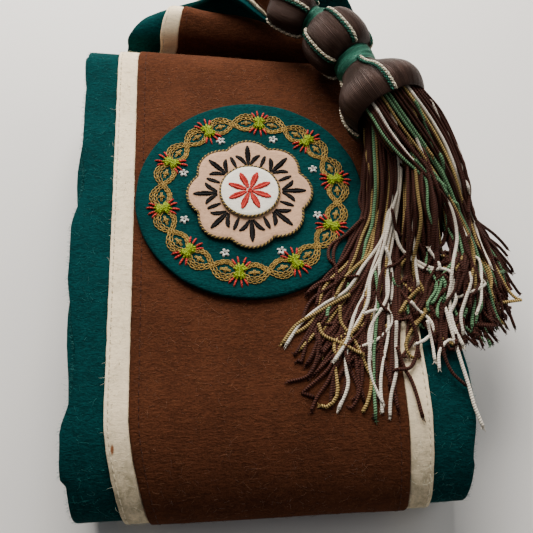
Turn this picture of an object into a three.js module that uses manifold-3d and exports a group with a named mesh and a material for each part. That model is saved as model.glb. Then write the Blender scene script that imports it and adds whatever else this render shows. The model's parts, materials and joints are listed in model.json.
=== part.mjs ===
// A ceremonial shoulder sash of wool felt, rolled into a flat packet, with a
// badge on its top layer and a three-stage tassel lying across the far right side.
// Millimetres, +Z up. The origin is the centre of the packet where it rests.

import * as THREE from 'three';
import { mergeVertices } from 'three/addons/utils/BufferGeometryUtils.js';
import Module from 'manifold-3d';

const wasm = await Module();
wasm.setup();

// Clearance between pieces that touch on the real sash
const gap = 0.3;

// Felt thicknesses
const baseThickness = 1.6;
const stripThickness = 1.2;
const panelThickness = 1.6;

// Widths across the band
const bandWidth = 137;
const panelWidth = 93;
const stripWidth = 8;
const edge = bandWidth / 2;
const panelEdge = panelWidth / 2;
const stripInner = panelEdge + gap;
const stripOuter = stripInner + stripWidth;

// Heights above the middle plane of the base band, on its face side
const baseFace = baseThickness / 2;
const appliedLow = baseFace + gap;
const stripFace = appliedLow + stripThickness;
const panelFace = appliedLow + panelThickness;

// The packet: four double runs, each two legs lying back to back
const nearTip = -92.5;
const farFoldY = { left: 93, right: 76.5 };
const legPitch = baseThickness + 0.5;
const runGaps = [
  { under: 'second run', left: 3.5, right: 2 },
  { under: 'third run', left: 4, right: 2.5 },
  { under: 'top run', left: 4, right: 2.5 },
];
const nearTipY = nearTip + panelFace;
const nearTopReach = 38;
const nearBottomReach = 16;
const innerNearFoldY = -66;
const closedEndSetback = 8;
const arcSteps = 7;
const runSteps = 4;
const topRunSteps = 14;

// Waviness of the long edges of the top run, outward positive
const topEdges = [
  { y: -88, left: 0, right: -1.5 },
  { y: -78, left: 2, right: 0.5 },
  { y: -66, left: 1, right: 1.5 },
  { y: -50, left: -2.6, right: 1.5 },
  { y: -38, left: -2.8, right: 0.5 },
  { y: -24, left: -0.6, right: -1.5 },
  { y: -8, left: 1.4, right: -2.5 },
  { y: 12, left: 1.6, right: -2 },
  { y: 32, left: -2.2, right: -1 },
  { y: 52, left: -0.6, right: -2.5 },
  { y: 78, left: -0.5, right: -3.5 },
];
const hiddenEdgeWave = { amplitude: 1.1, length: 61 };

// The two ends of the loop leave the packet on its far side. The inner one rises to a
// crest and is tucked behind it, and the outer one arches over to the tassel.
// Each row is a line across the band, from its left edge to its right edge. Where its
// left side curls down, it also gives the outer edges of the white strip and the panel.
const innerEnd = [
  { left: [-66, 99, 4.9], right: [68, 86, 4.8], pleat: 0 },
  { left: [-61, 108.5, 12], right: [63, 96, 9], pleat: 0.2 },
  { left: [-53.6, 112, 26.5], strip: [-39, 112.3, 25.5], seam: [-31, 112.2, 25.2], right: [57, 99, 19.5], pleat: 0.4 },
  { left: [-52, 112.8, 33.8], strip: [-38, 113, 33.2], seam: [-29.3, 112.9, 33.2], right: [50, 100, 27.5], pleat: 0.6 },
  { left: [-46.5, 118, 35.5], strip: [-35.6, 118, 38.6], seam: [-27.5, 117.5, 38], right: [44, 101, 30.5], pleat: 0.8 },
  { left: [-41, 122.5, 34], strip: [-33.6, 121.5, 39], seam: [-26.8, 120.5, 38.8], right: [39.5, 103.5, 31.5], pleat: 0.8 },
  { left: [-36.5, 126, 28.5], strip: [-31, 126, 34.5], seam: [-25.5, 125, 34.2], right: [36.5, 107.5, 27.5], pleat: 0.8 },
  { left: [-34.5, 127.5, 20], strip: [-29.5, 128, 27], seam: [-24.5, 127.5, 27.5], right: [34, 110, 22], pleat: 0.7 },
];
const outerEnd = [
  { left: [-68, 106, 2.7], right: [68, 96, 2.7], pleat: 0 },
  { left: [-62, 120, 5.5], right: [63, 109, 4.5], pleat: 0.3 },
  { left: [-50, 132, 13], right: [57, 121, 13], pleat: 0.6 },
  { left: [-36, 137, 22.5], right: [50, 132, 27], pleat: 1 },
  { left: [-18.4, 127, 37], strip: [-15, 128.5, 38.5], seam: [-12, 130, 40], right: [36, 134, 45], pleat: 0.9 },
  { left: [-11.5, 120.5, 45.5], strip: [-9.5, 123.5, 45.8], seam: [-7, 126.5, 46], right: [27, 129, 54.5], pleat: 0.7 },
  { left: [-3.4, 116, 47.4], strip: [-2, 119.5, 46.4], seam: [0, 122.5, 46.5], right: [21.5, 124, 58.5], pleat: 0.5 },
  { left: [4, 111.5, 44.2], strip: [5, 114, 43.4], seam: [6.8, 116.8, 43.6], right: [18, 118.5, 59], pleat: 0.4 },
  { left: [9.6, 108.4, 41.6], strip: [10.1, 110.2, 41.6], seam: [11, 112, 42.4], right: [15.2, 115, 57.6], pleat: 0.3 },
];
const endStepsPerRow = 2;
const pleatCount = 2;
const panelColumns = 4;
const pleatLift = 0.35;
const pleatInset = 0.4;

// Both sides of the band are drawn in toward the rounded near end, the left one more
const nearDraw = { from: -62, reach: 30, most: 5.2, power: 1.5, shares: [0.6, 1, 1, -0.7] };

// Badge on the top run
const badge = { x: -2.3, y: 22, radius: 43.4, thickness: 2 };
const medallion = { lobes: 8, outer: 23.5, notch: 2.6, thickness: 1.2 };
const disc = { radius: 11, thickness: 1 };
const outlineSides = 48;

// Tassel: the centres and directions of its stages; the bell points from the middle knob to its rim
const knobTopCentre = new THREE.Vector3(19.7, 103.1, 53);
const knobTopAxis = new THREE.Vector3(0.8, -0.6, 0);
const knobMiddleCentre = new THREE.Vector3(36.4, 84.5, 53.2);
const knobMiddleAxis = new THREE.Vector3(0.48, -0.877, 0.03).normalize();
const bellRimCentre = new THREE.Vector3(52.4, 43.7, 57);
const knobTop = { radius: 9.6, halfLength: 8.7, neck: 5 };
const knobMiddle = { radius: 13.6, halfLength: 10.5, neck: 6 };
const knobFullness = 0.65;
const knobSteps = 8;
const wrap = { upperRadius: 5.6, lowerRadius: 7.4, sides: 18, steps: 2 };

// The bell in side view, from its neck to its rim and back into its mouth
const bellRings = [
  { along: 0, radius: 7.4, groove: 0 },
  { along: 3, radius: 9.4, groove: 0.05 },
  { along: 6.5, radius: 12.2, groove: 0.1 },
  { along: 10.5, radius: 15, groove: 0.14 },
  { along: 15, radius: 17.4, groove: 0.16 },
  { along: 19.5, radius: 18.2, groove: 0.16 },
  { along: 23.5, radius: 17.2, groove: 0.14 },
  { along: 26.3, radius: 15, groove: 0.08 },
  { along: 25, radius: 13, groove: 0 },
  { along: 20.5, radius: 12.5, groove: 0 },
];
const bellRimRing = 7;
const bellLength = bellRings[bellRimRing].along;

// Seams between lobes, in degrees round the axis, 0 at the right and 90 on top
const seams = {
  knob_top: [34, 107, 211, 300],
  knob_middle: [14, 86, 158, 228, 300],
  bell: [8, 92, 198, 288],
};
const knobGroove = 0.16;
const sidesPerLobe = 6;
const lobeFullness = 0.7;

// Twisted cords along the seams
const cord = { radius: 1.2, lift: 1.62, sides: 6 };

// Fringe: a head inside the bell, and flat locks that run to these ends.
// 'from' is the place on the head, in the same degrees as the seams. A lock
// sinks by 'drop' below the top of the packet at its end, arches 'over' it before
// and swings out by 'spread' beside the others.
const fringeHead = { radius: 12.1, from: -5.5, to: 3, sides: 14 };
const lock = { startWidth: 4.8, endWidth: 4.6, startHeight: 3.8, endHeight: 2.4, sides: 6, steps: 7 };
const lockRoute = {
  start: { along: 1, out: 0.5 },
  mouth: { along: 5, out: 0.74 },
  lead: { along: 30, out: 0.95, over: 1.2 },
  trail: { length: 24, over: 0.5, drop: 0.4 },
};
const lockEnds = [
  { from: 188, x: 10, y: -41, drop: 0, over: 1 },
  { from: 166, x: 13, y: -52, drop: 0, over: 3 },
  { from: 145, x: 20, y: -59, drop: 0, over: 4 },
  { from: 125, x: 28, y: -62, drop: 0, over: 5 },
  { from: 105, x: 37, y: -65, drop: 0, over: 5.5 },
  { from: 85, x: 47, y: -65, drop: 0, over: 5.5 },
  { from: 65, x: 56, y: -60, drop: 0, over: 5 },
  { from: 50, x: 66, y: -52, drop: 2, over: 4 },
  { from: 35, x: 75, y: -42, drop: 6, over: 3, spread: 1.15 },
  { from: 20, x: 83, y: -34, drop: 9, over: 2.5, spread: 1.35 },
  { from: 5, x: 90, y: -22, drop: 10, over: 1.5, spread: 1.45 },
  { from: -15, x: 91, y: -7, drop: 9, over: 0.5, spread: 1.45 },
  { from: -35, x: 74, y: -24, drop: 3, over: 0 },
  { from: -60, x: 58, y: -36, drop: 0, over: 0 },
  { from: -85, x: 45, y: -40, drop: 0, over: 0 },
  { from: -115, x: 32, y: -38, drop: 0, over: 0 },
  { from: -150, x: 20, y: -33, drop: 0, over: 0 },
];

// Colours as they show in daylight
const colours = {
  teal: 0x035650,
  cream: 0xe6dfcc,
  brown: 0x5f3521,
  beige: 0xc39b7c,
  floss: 0x33211e,
  satin: 0x3c7a67,
  cord: 0x4a2a1e,
};

// Meshes

function feltMaterial(colour) {
  return new THREE.MeshStandardMaterial({ color: colour, roughness: 0.95, metalness: 0 });
}

function satinMaterial(colour) {
  return new THREE.MeshStandardMaterial({ color: colour, roughness: 0.45, metalness: 0 });
}

function addPiece(group, name, geometry, material) {
  const mesh = new THREE.Mesh(geometry, material);
  mesh.name = name;
  group.add(mesh);
  return mesh;
}

function signedVolume(points, faces) {
  let volume = 0;
  for (let i = 0; i < faces.length; i += 3) {
    const [a, b, c] = [points[faces[i]], points[faces[i + 1]], points[faces[i + 2]]];
    volume += a.dot(b.clone().cross(c)) / 6;
  }
  return volume;
}

// A closed body from points and triangles, turned so that its faces point out
function bodyGeometry(points, faces) {
  if (signedVolume(points, faces) < 0) {
    for (let i = 0; i < faces.length; i += 3) {
      [faces[i], faces[i + 1]] = [faces[i + 1], faces[i]];
    }
  }
  const geometry = new THREE.BufferGeometry().setFromPoints(points);
  geometry.setIndex(faces);
  geometry.computeVertexNormals();
  return geometry;
}

// Solids for joining

function toSolid(geometry) {
  const bare = geometry.clone();
  bare.deleteAttribute('normal');
  bare.deleteAttribute('uv');
  const merged = mergeVertices(bare, 1e-4);
  return new wasm.Manifold(new wasm.Mesh({
    numProp: 3,
    vertProperties: new Float32Array(merged.attributes.position.array),
    triVerts: new Uint32Array(merged.index.array),
  }));
}

function toGeometry(solid) {
  const mesh = solid.getMesh();
  const geometry = new THREE.BufferGeometry();
  geometry.setAttribute('position', new THREE.BufferAttribute(mesh.vertProperties, 3));
  geometry.setIndex(new THREE.BufferAttribute(mesh.triVerts, 1));
  geometry.computeVertexNormals();
  return geometry;
}

// One body from several that overlap; a pocket closed in between them is filled
function fuse(geometries) {
  const solids = geometries.map(toSolid);
  const whole = solids.slice(1).reduce((sum, piece) => sum.add(piece), solids[0]);
  const [outer] = whole.decompose().sort((a, b) => b.volume() - a.volume());
  return toGeometry(outer);
}

// The folded path of the band

// Heights of the middle plane of every leg at one side, 'left' or 'right'
function legHeights(side) {
  const firstLow = panelFace;
  const lows = [firstLow];
  for (const spacing of runGaps) {
    lows.push(lows[lows.length - 1] + legPitch + 2 * panelFace + spacing[side]);
  }
  const [bottom, second, third, top] = lows.map((low) => ({ low, high: low + legPitch }));
  return { bottom, second, third, top };
}

function span(from, to, steps) {
  return Array.from({ length: steps + 1 }, (_, i) => from + (to - from) * i / steps);
}

// A quarter or half turn: an elliptical arc about a centre, in the Y-Z plane
function arc(centre, reachY, reachZ, fromAngle, toAngle, steps) {
  return span(fromAngle, toAngle, steps).map((angle) => ({
    y: centre.y + reachY * Math.sin(angle),
    z: centre.z + reachZ * Math.cos(angle),
  }));
}

function straightRun(fromY, toY, z, steps) {
  return span(fromY, toY, steps).slice(1, -1).map((y) => ({ y, z }));
}

// The fold between two heights: 'toward' is 1 for the far side and -1 for the near side
function fold(y, low, high, toward, rising) {
  const centre = { y, z: (low + high) / 2 };
  const reach = (high - low) / 2;
  const [from, to] = rising ? [Math.PI, 0] : [0, Math.PI];
  return arc(centre, reach * toward, reach, from, to, arcSteps);
}

// The large rounded near end, flatter above its tip than below
function nearEnd(low, high, inset, rising) {
  const z = (low + high) / 2;
  const reachZ = (high - low) / 2;
  const tip = nearTipY + inset;
  const upper = nearTopReach - inset;
  const lower = nearBottomReach - inset;
  const top = arc({ y: tip + upper, z }, -upper, reachZ, 0, Math.PI / 2, arcSteps);
  const bottom = arc({ y: tip + lower, z }, -lower, reachZ, Math.PI / 2, Math.PI, arcSteps - 2);
  const downward = [...top, ...bottom.slice(1)];
  return rising ? downward.reverse() : downward;
}

// The whole loop in side view at one side of the band, without its gathered ends
function loopProfile(side) {
  const legs = legHeights(side);
  const farY = farFoldY[side];
  const closedEndY = farY - closedEndSetback;
  const endY = farY;
  return [
    { y: endY, z: legs.bottom.high },
    ...straightRun(endY, nearTipY + nearBottomReach, legs.bottom.high, runSteps),
    ...nearEnd(legs.bottom.high, legs.top.low, legPitch, true),
    ...straightRun(nearTipY + nearTopReach, farY, legs.top.low, runSteps),
    ...fold(farY, legs.second.high, legs.top.low, 1, false),
    ...straightRun(farY, innerNearFoldY, legs.second.high, runSteps),
    ...fold(innerNearFoldY, legs.second.high, legs.third.low, -1, true),
    ...straightRun(innerNearFoldY, closedEndY, legs.third.low, runSteps),
    ...fold(closedEndY, legs.third.low, legs.third.high, 1, true),
    ...straightRun(closedEndY, innerNearFoldY, legs.third.high, runSteps),
    ...fold(innerNearFoldY, legs.second.low, legs.third.high, -1, false),
    ...straightRun(innerNearFoldY, farY, legs.second.low, runSteps),
    ...fold(farY, legs.second.low, legs.top.high, 1, true),
    ...straightRun(farY, nearTipY + nearTopReach, legs.top.high, topRunSteps),
    ...nearEnd(legs.bottom.low, legs.top.high, 0, false),
    ...straightRun(nearTipY + nearBottomReach, endY, legs.bottom.low, runSteps),
    { y: endY, z: legs.bottom.low },
  ];
}

function tableValue(rows, y, key) {
  const last = rows[rows.length - 1];
  if (y <= rows[0].y) return rows[0][key];
  if (y >= last.y) return last[key];
  const next = rows.findIndex((row) => row.y > y);
  const [a, b] = [rows[next - 1], rows[next]];
  const t = THREE.MathUtils.smoothstep(y, a.y, b.y);
  return a[key] + (b[key] - a[key]) * t;
}

// Outward shift of each long edge: from the table on the top run, a slow wave elsewhere
function edgeShift(point, travelled, onTop) {
  if (onTop) {
    return { left: tableValue(topEdges, point.y, 'left'), right: tableValue(topEdges, point.y, 'right') };
  }
  const phase = 2 * Math.PI * travelled / hiddenEdgeWave.length;
  return {
    left: hiddenEdgeWave.amplitude * Math.sin(phase),
    right: hiddenEdgeWave.amplitude * Math.cos(phase),
  };
}

// The line of a station: its points where the anchors are, straight in between
const anchors = [-edge, -stripOuter, -panelEdge, edge];

function withAnchors(left, right, strip, seam) {
  const on = (x) => left.clone().lerp(right, (x + edge) / bandWidth);
  return [
    left,
    strip ? new THREE.Vector3(...strip) : on(-stripOuter),
    seam ? new THREE.Vector3(...seam) : on(-panelEdge),
    right,
  ];
}

// A value at a place across the band, from its values at the anchors
function acrossAnchors(values, x) {
  const next = Math.max(anchors.findIndex((anchor) => anchor >= x), 1);
  const [from, to] = [anchors[next - 1], anchors[next]];
  return values[next - 1].clone().lerp(values[next], (x - from) / (to - from));
}

function loopStations() {
  const left = loopProfile('left');
  const right = loopProfile('right');
  const topStart = legHeights('left').third.high + 2 * panelFace;
  let travelled = 0;
  return left.map((point, i) => {
    if (i > 0) travelled += Math.hypot(point.y - left[i - 1].y, point.z - left[i - 1].z);
    const onTop = i > left.length / 2 && point.z > topStart;
    const line = withAnchors(
      new THREE.Vector3(-edge, point.y, point.z), new THREE.Vector3(edge, right[i].y, right[i].z));
    const drawn = nearDraw.most * Math.max((nearDraw.from - point.y) / nearDraw.reach, 0) ** nearDraw.power;
    line.forEach((anchor, k) => { anchor.x += drawn * nearDraw.shares[k]; });
    return {
      points: line,
      shift: edgeShift(point, travelled, onTop),
      pleat: 0,
    };
  });
}

// A gathered end: its rows smoothed into stations, from the packet to the tassel
function endStations(rows) {
  const count = (rows.length - 1) * endStepsPerRow;
  const lines = rows.map(({ left, strip, seam, right }) => (
    withAnchors(new THREE.Vector3(...left), new THREE.Vector3(...right), strip, seam)));
  const curves = anchors.map((_, k) => new THREE.CatmullRomCurve3(lines.map((line) => line[k])));
  return span(0, 1, count).map((t) => {
    const place = t * (rows.length - 1);
    const row = Math.min(Math.floor(place), rows.length - 2);
    const pleat = THREE.MathUtils.lerp(rows[row].pleat, rows[row + 1].pleat, place - row);
    return { points: curves.map((curve) => curve.getPoint(t)), shift: { left: 0, right: 0 }, pleat };
  });
}

// The face-side directions of every station, square to the band's travel and to its line
function addNormals(stations) {
  const middle = ({ points }) => points[0].clone().add(points[points.length - 1]).multiplyScalar(0.5);
  stations.forEach((station, i) => {
    const before = stations[Math.max(i - 1, 0)];
    const after = stations[Math.min(i + 1, stations.length - 1)];
    const travel = middle(after).sub(middle(before));
    const { points } = station;
    const facing = points.slice(1).map((point, k) => travel.clone().cross(point.clone().sub(points[k])).normalize());
    station.normals = points.map((_, k) => {
      const [left, right] = [facing[Math.max(k - 1, 0)], facing[Math.min(k, facing.length - 1)]];
      return left.clone().add(right).normalize();
    });
  });
  return stations;
}

const stations = addNormals([
  ...endStations(innerEnd).reverse(),
  ...loopStations(),
  ...endStations(outerEnd),
]);

// Ribbons of felt along the path

const panelSplits = span(-panelEdge, panelEdge, panelColumns);
const columns = [-edge, -stripOuter, ...panelSplits, stripOuter, edge];

function normalAt(station, x) {
  return acrossAnchors(station.normals, THREE.MathUtils.clamp(x, -edge, edge)).normalize();
}

function columnPoint(station, x) {
  const share = (x + edge) / bandWidth;
  const wave = Math.cos(2 * Math.PI * pleatCount * share);
  return acrossAnchors(station.points, x).addScaledVector(normalAt(station, x), station.pleat * wave);
}

// A point of the band's middle surface, straight between columns
function middlePoint(station, x) {
  if (x <= columns[0] || x >= columns[columns.length - 1]) {
    const inside = THREE.MathUtils.clamp(x, -edge, edge);
    const { points } = station;
    const across = points[points.length - 1].clone().sub(points[0]);
    return columnPoint(station, inside).addScaledVector(across, (x - inside) / bandWidth);
  }
  const next = columns.findIndex((column) => column > x);
  const [from, to] = [columns[next - 1], columns[next]];
  return columnPoint(station, from).lerp(columnPoint(station, to), (x - from) / (to - from));
}

function crossPositions(station, from, to) {
  const inner = station.pleat > 0 ? columns.filter((x) => x > from + gap && x < to - gap) : [];
  return [from, ...inner, to];
}

// Triangles between two rows of points that run the same way. Both sides of a felt strip
// are split along the same diagonals; 'turned' makes the faces look the other way.
function bridge(faces, rowA, rowB, turned = false) {
  const push = (p, q, r) => faces.push(p, turned ? r : q, turned ? q : r);
  let a = 0;
  let b = 0;
  while (a < rowA.length - 1 || b < rowB.length - 1) {
    const nextA = (a + 1) / (rowA.length - 1);
    const nextB = (b + 1) / (rowB.length - 1);
    if (b === rowB.length - 1 || (a < rowA.length - 1 && nextA <= nextB)) {
      push(rowA[a], rowA[a + 1], rowB[b]);
      a += 1;
    } else {
      push(rowA[a], rowB[b + 1], rowB[b]);
      b += 1;
    }
  }
}

// A closed felt strip between two places across the band and two heights over its middle
function ribbon(leftAt, rightAt, low, high) {
  const points = [];
  const faces = [];
  const addRow = (station, height) => {
    const xs = crossPositions(station, leftAt(station), rightAt(station));
    const lifted = low > 0 ? height + pleatLift * station.pleat : height;
    return xs.map((x) => points.push(middlePoint(station, x).addScaledVector(normalAt(station, x), lifted)) - 1);
  };
  const rows = stations.map((station) => ({ top: addRow(station, high), bottom: addRow(station, low) }));
  rows.slice(1).forEach((row, i) => {
    const before = rows[i];
    const last = (list) => list[list.length - 1];
    bridge(faces, row.top, before.top);
    bridge(faces, row.bottom, before.bottom, true);
    bridge(faces, [before.top[0], before.bottom[0]], [row.top[0], row.bottom[0]]);
    bridge(faces, [row.top, row.bottom].map(last), [before.top, before.bottom].map(last));
  });
  bridge(faces, rows[0].top, rows[0].bottom);
  bridge(faces, rows[rows.length - 1].bottom, rows[rows.length - 1].top);
  return bodyGeometry(points, faces);
}

// How far a strip's edge draws back from its seam where the band is gathered, so that
// the seam stays open when the cloth is squeezed together across its width
function drawnBack({ points, pleat }, x) {
  const [from, to] = x < 0 ? [0, 2] : [2, 3];
  const squeezed = points[to].distanceTo(points[from]) / (anchors[to] - anchors[from]);
  return pleatInset * pleat + gap / 2 * Math.max(1 / squeezed - 1, 0);
}

function buildFelt(group) {
  const inset = (x) => (station) => x - Math.sign(x) * drawnBack(station, x);
  const outset = (x) => (station) => x + Math.sign(x) * drawnBack(station, x);
  const leftEdge = (station) => -edge - station.shift.left;
  const rightEdge = (station) => edge + station.shift.right;
  addPiece(group, 'base_band', ribbon(leftEdge, rightEdge, -baseFace, baseFace), feltMaterial(colours.teal));
  const cream = feltMaterial(colours.cream);
  const leftStrip = ribbon(inset(-stripOuter), outset(-stripInner), appliedLow, stripFace);
  const rightStrip = ribbon(outset(stripInner), inset(stripOuter), appliedLow, stripFace);
  addPiece(group, 'white_strip_left', leftStrip, cream);
  addPiece(group, 'white_strip_right', rightStrip, cream);
  const panel = ribbon(inset(-panelEdge), inset(panelEdge), appliedLow, panelFace);
  addPiece(group, 'brown_panel', panel, feltMaterial(colours.brown));
}

// The badge lies on the sloping plane of the top run

const topLeft = legHeights('left').top.high + panelFace;
const topRight = legHeights('right').top.high + panelFace;
const topTilt = Math.atan2(topLeft - topRight, bandWidth);

function topHeight(x) {
  return THREE.MathUtils.lerp(topLeft, topRight, THREE.MathUtils.clamp((x + edge) / bandWidth, 0, 1));
}

function roundOutline(radiusAt) {
  const points = span(0, 2 * Math.PI, outlineSides).slice(0, -1).map((angle) => {
    const radius = radiusAt(angle);
    return new THREE.Vector2(radius * Math.cos(angle), radius * Math.sin(angle));
  });
  return new THREE.Shape(points);
}

function medallionRadius(angle) {
  return medallion.outer - medallion.notch * (1 - Math.abs(Math.cos(medallion.lobes * angle / 2)));
}

function buildBadge(group) {
  const badgeGroup = new THREE.Group();
  badgeGroup.position.set(badge.x, badge.y, topHeight(badge.x) + gap);
  badgeGroup.rotation.y = topTilt;
  const layers = [
    { name: 'badge_ground', radiusAt: () => badge.radius, depth: badge.thickness, colour: colours.teal },
    { name: 'badge_medallion', radiusAt: medallionRadius, depth: medallion.thickness, colour: colours.beige },
    { name: 'badge_disc', radiusAt: () => disc.radius, depth: disc.thickness, colour: colours.cream },
  ];
  let height = 0;
  for (const { name, radiusAt, depth, colour } of layers) {
    const geometry = new THREE.ExtrudeGeometry(roundOutline(radiusAt), { depth, bevelEnabled: false });
    addPiece(badgeGroup, name, geometry, feltMaterial(colour)).position.z = height;
    height += depth + gap;
  }
  group.add(badgeGroup);
}

// The tassel's pieces are built along their own +Z, with +X to their right and +Y on top

function axisFrame(origin, axis) {
  const right = new THREE.Vector3(0, 0, 1).cross(axis).normalize();
  const top = axis.clone().cross(right);
  return new THREE.Matrix4().makeBasis(right, top, axis).setPosition(origin);
}

function place(piece, origin, axis) {
  axisFrame(origin, axis).decompose(piece.position, piece.quaternion, piece.scale);
}

// Directions round a lobed body, so that every seam has a line of corners on it
function lobeAngles(places) {
  return places.flatMap((seam, i) => {
    const next = i + 1 < places.length ? places[i + 1] : places[0] + 360;
    return span(seam, next, sidesPerLobe).slice(0, -1).map((angle, k) => ({
      angle: THREE.MathUtils.degToRad(angle),
      lobe: Math.pow(Math.sin(Math.PI * k / sidesPerLobe), lobeFullness),
    }));
  });
}

function around(radius, angle, along) {
  return new THREE.Vector3(radius * Math.cos(angle), radius * Math.sin(angle), along);
}

function joinRows(points, rows) {
  const faces = [];
  const closed = (row) => [...row, row[0]];
  rows.slice(1).forEach((row, i) => bridge(faces, closed(row), closed(rows[i])));
  const cap = (row, turned) => {
    const centre = row.reduce((sum, k) => sum.add(points[k]), new THREE.Vector3()).divideScalar(row.length);
    const middle = points.push(centre) - 1;
    bridge(faces, closed(row), [middle], turned);
  };
  cap(rows[0], false);
  cap(rows[rows.length - 1], true);
  return bodyGeometry(points, faces);
}

function lobedGeometry(rings, places) {
  const points = [];
  const rows = rings.map((ring) => lobeAngles(places).map(({ angle, lobe }) => (
    points.push(around(ring.radius * (1 - ring.groove * (1 - lobe)), angle, ring.along)) - 1
  )));
  return joinRows(points, rows);
}

function knobRings(knob) {
  return span(-Math.PI / 2, Math.PI / 2, knobSteps).map((angle) => ({
    along: knob.halfLength * Math.sin(angle),
    radius: knob.neck + (knob.radius - knob.neck) * Math.pow(Math.abs(Math.cos(angle)), knobFullness),
    groove: knobGroove * Math.cos(angle),
  }));
}

// A closed tube through stops, each with its centre and its half widths as vectors
function sweep(stops, sides) {
  const points = [];
  const rows = stops.map(({ centre, side, up }) => (
    span(0, 2 * Math.PI, sides).slice(0, -1).map((angle) => points.push(
      centre.clone().addScaledVector(side, Math.cos(angle)).addScaledVector(up, Math.sin(angle)),
    ) - 1)
  ));
  return joinRows(points, rows);
}

// One cord in a seam groove, from ring to ring
function seamCord(rings, angle) {
  const side = around(cord.radius, angle + Math.PI / 2, 0);
  const centres = rings.map((ring) => around(ring.radius * (1 - ring.groove), angle, ring.along));
  const stops = centres.map((centre, i) => {
    const after = centres[Math.min(i + 1, centres.length - 1)];
    const before = centres[Math.max(i - 1, 0)];
    const travel = after.clone().sub(before).normalize();
    const out = side.clone().normalize().cross(travel);
    const up = out.clone().multiplyScalar(cord.radius);
    return { centre: centre.clone().addScaledVector(out, cord.lift), side, up };
  });
  return sweep(stops, cord.sides);
}

// A satin wrap between two bodies: its ends are square to the axis of each
function wrapGeometry(from, fromAxis, to, toAxis, radius) {
  const reach = from.distanceTo(to) / 3;
  const path = new THREE.CubicBezierCurve3(
    from, from.clone().addScaledVector(fromAxis, reach), to.clone().addScaledVector(toAxis, -reach), to);
  const stops = span(0, 1, wrap.steps).map((t) => {
    const { elements } = axisFrame(from, path.getTangent(t));
    const side = new THREE.Vector3(elements[0], elements[1], elements[2]).multiplyScalar(radius);
    const up = new THREE.Vector3(elements[4], elements[5], elements[6]).multiplyScalar(radius);
    return { centre: path.getPoint(t), side, up };
  });
  return sweep(stops, wrap.sides);
}

function addLobed(group, name, rings, origin, axis) {
  place(addPiece(group, name, lobedGeometry(rings, seams[name]), satinMaterial(colours.floss)), origin, axis);
}

// The cords of one lobed body, which stop short of its necks
function addCords(group, name, rings, origin, axis) {
  seams[name].forEach((seam, i) => {
    const geometry = seamCord(rings, THREE.MathUtils.degToRad(seam));
    place(addPiece(group, `cord_${name}_${i + 1}`, geometry, satinMaterial(colours.satin)), origin, axis);
  });
}

function buildTassel(group) {
  const [upperAxis, middleAxis] = [knobTopAxis, knobMiddleAxis];
  const lowerAxis = bellRimCentre.clone().sub(knobMiddleCentre).normalize();
  const topRings = knobRings(knobTop);
  const middleRings = knobRings(knobMiddle);
  const bellStart = bellRimCentre.clone().addScaledVector(lowerAxis, -bellLength);
  addLobed(group, 'knob_top', topRings, knobTopCentre, upperAxis);
  addCords(group, 'knob_top', topRings.slice(1, -1), knobTopCentre, upperAxis);
  addLobed(group, 'knob_middle', middleRings, knobMiddleCentre, middleAxis);
  addCords(group, 'knob_middle', middleRings.slice(1, -1), knobMiddleCentre, middleAxis);
  addLobed(group, 'bell', bellRings, bellStart, lowerAxis);
  addCords(group, 'bell', bellRings.slice(0, bellRimRing + 1), bellStart, lowerAxis);

  const along = (point, axis, distance) => point.clone().addScaledVector(axis, distance);
  const satin = satinMaterial(colours.satin);
  const upperWrap = wrapGeometry(
    along(knobTopCentre, upperAxis, knobTop.halfLength + gap), upperAxis,
    along(knobMiddleCentre, middleAxis, -knobMiddle.halfLength - gap), middleAxis, wrap.upperRadius);
  const lowerWrap = wrapGeometry(
    along(knobMiddleCentre, middleAxis, knobMiddle.halfLength + gap), middleAxis,
    along(bellStart, lowerAxis, -gap), lowerAxis, wrap.lowerRadius);
  addPiece(group, 'neck_wrap_upper', upperWrap, satin);
  addPiece(group, 'neck_wrap_lower', lowerWrap, satin);
  addPiece(group, 'fringe', fringeGeometry(lowerAxis), feltMaterial(colours.cord));
}

// One lock: it leaves the bell along the tassel's axis, then bends toward its end
function lockPath(end, headFrame) {
  const { lead, trail } = lockRoute;
  const angle = THREE.MathUtils.degToRad(end.from);
  const onHead = ({ along, out }) => around(fringeHead.radius * out, angle, along).applyMatrix4(headFrame);
  const rest = (x) => topHeight(x) + lock.startHeight + 2 * gap;
  const mouthPoint = onHead(lockRoute.mouth);
  const tip = new THREE.Vector3(end.x, end.y, topHeight(end.x) + lock.endHeight + gap - end.drop);
  const leadPoint = onHead({ along: lead.along, out: lead.out * (end.spread ?? 1) });
  leadPoint.z = rest(leadPoint.x) + end.over * lead.over;
  const trailPoint = leadPoint.clone().sub(tip).normalize().multiplyScalar(trail.length).add(tip);
  trailPoint.z = rest(trailPoint.x) + end.over * trail.over - end.drop * trail.drop;
  const path = new THREE.CurvePath();
  path.add(new THREE.LineCurve3(onHead(lockRoute.start), mouthPoint));
  path.add(new THREE.CubicBezierCurve3(mouthPoint, leadPoint, trailPoint, tip));
  return path;
}

function lockGeometry(path) {
  const stops = span(0, 1, lock.steps).map((t) => {
    const travel = path.getTangentAt(t);
    const side = travel.clone().cross(new THREE.Vector3(0, 0, 1)).normalize();
    const up = side.clone().cross(travel);
    side.multiplyScalar(THREE.MathUtils.lerp(lock.startWidth, lock.endWidth, t));
    up.multiplyScalar(THREE.MathUtils.lerp(lock.startHeight, lock.endHeight, t));
    return { centre: path.getPointAt(t), side, up };
  });
  return sweep(stops, lock.sides);
}

function fringeGeometry(axis) {
  const headFrame = axisFrame(bellRimCentre, axis);
  const { radius, from, to, sides } = fringeHead;
  const head = new THREE.CylinderGeometry(radius, radius, to - from, sides);
  head.rotateX(Math.PI / 2);
  head.translate(0, 0, (from + to) / 2);
  head.applyMatrix4(headFrame);
  return fuse([head, ...lockEnds.map((end) => lockGeometry(lockPath(end, headFrame)))]);
}

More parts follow.
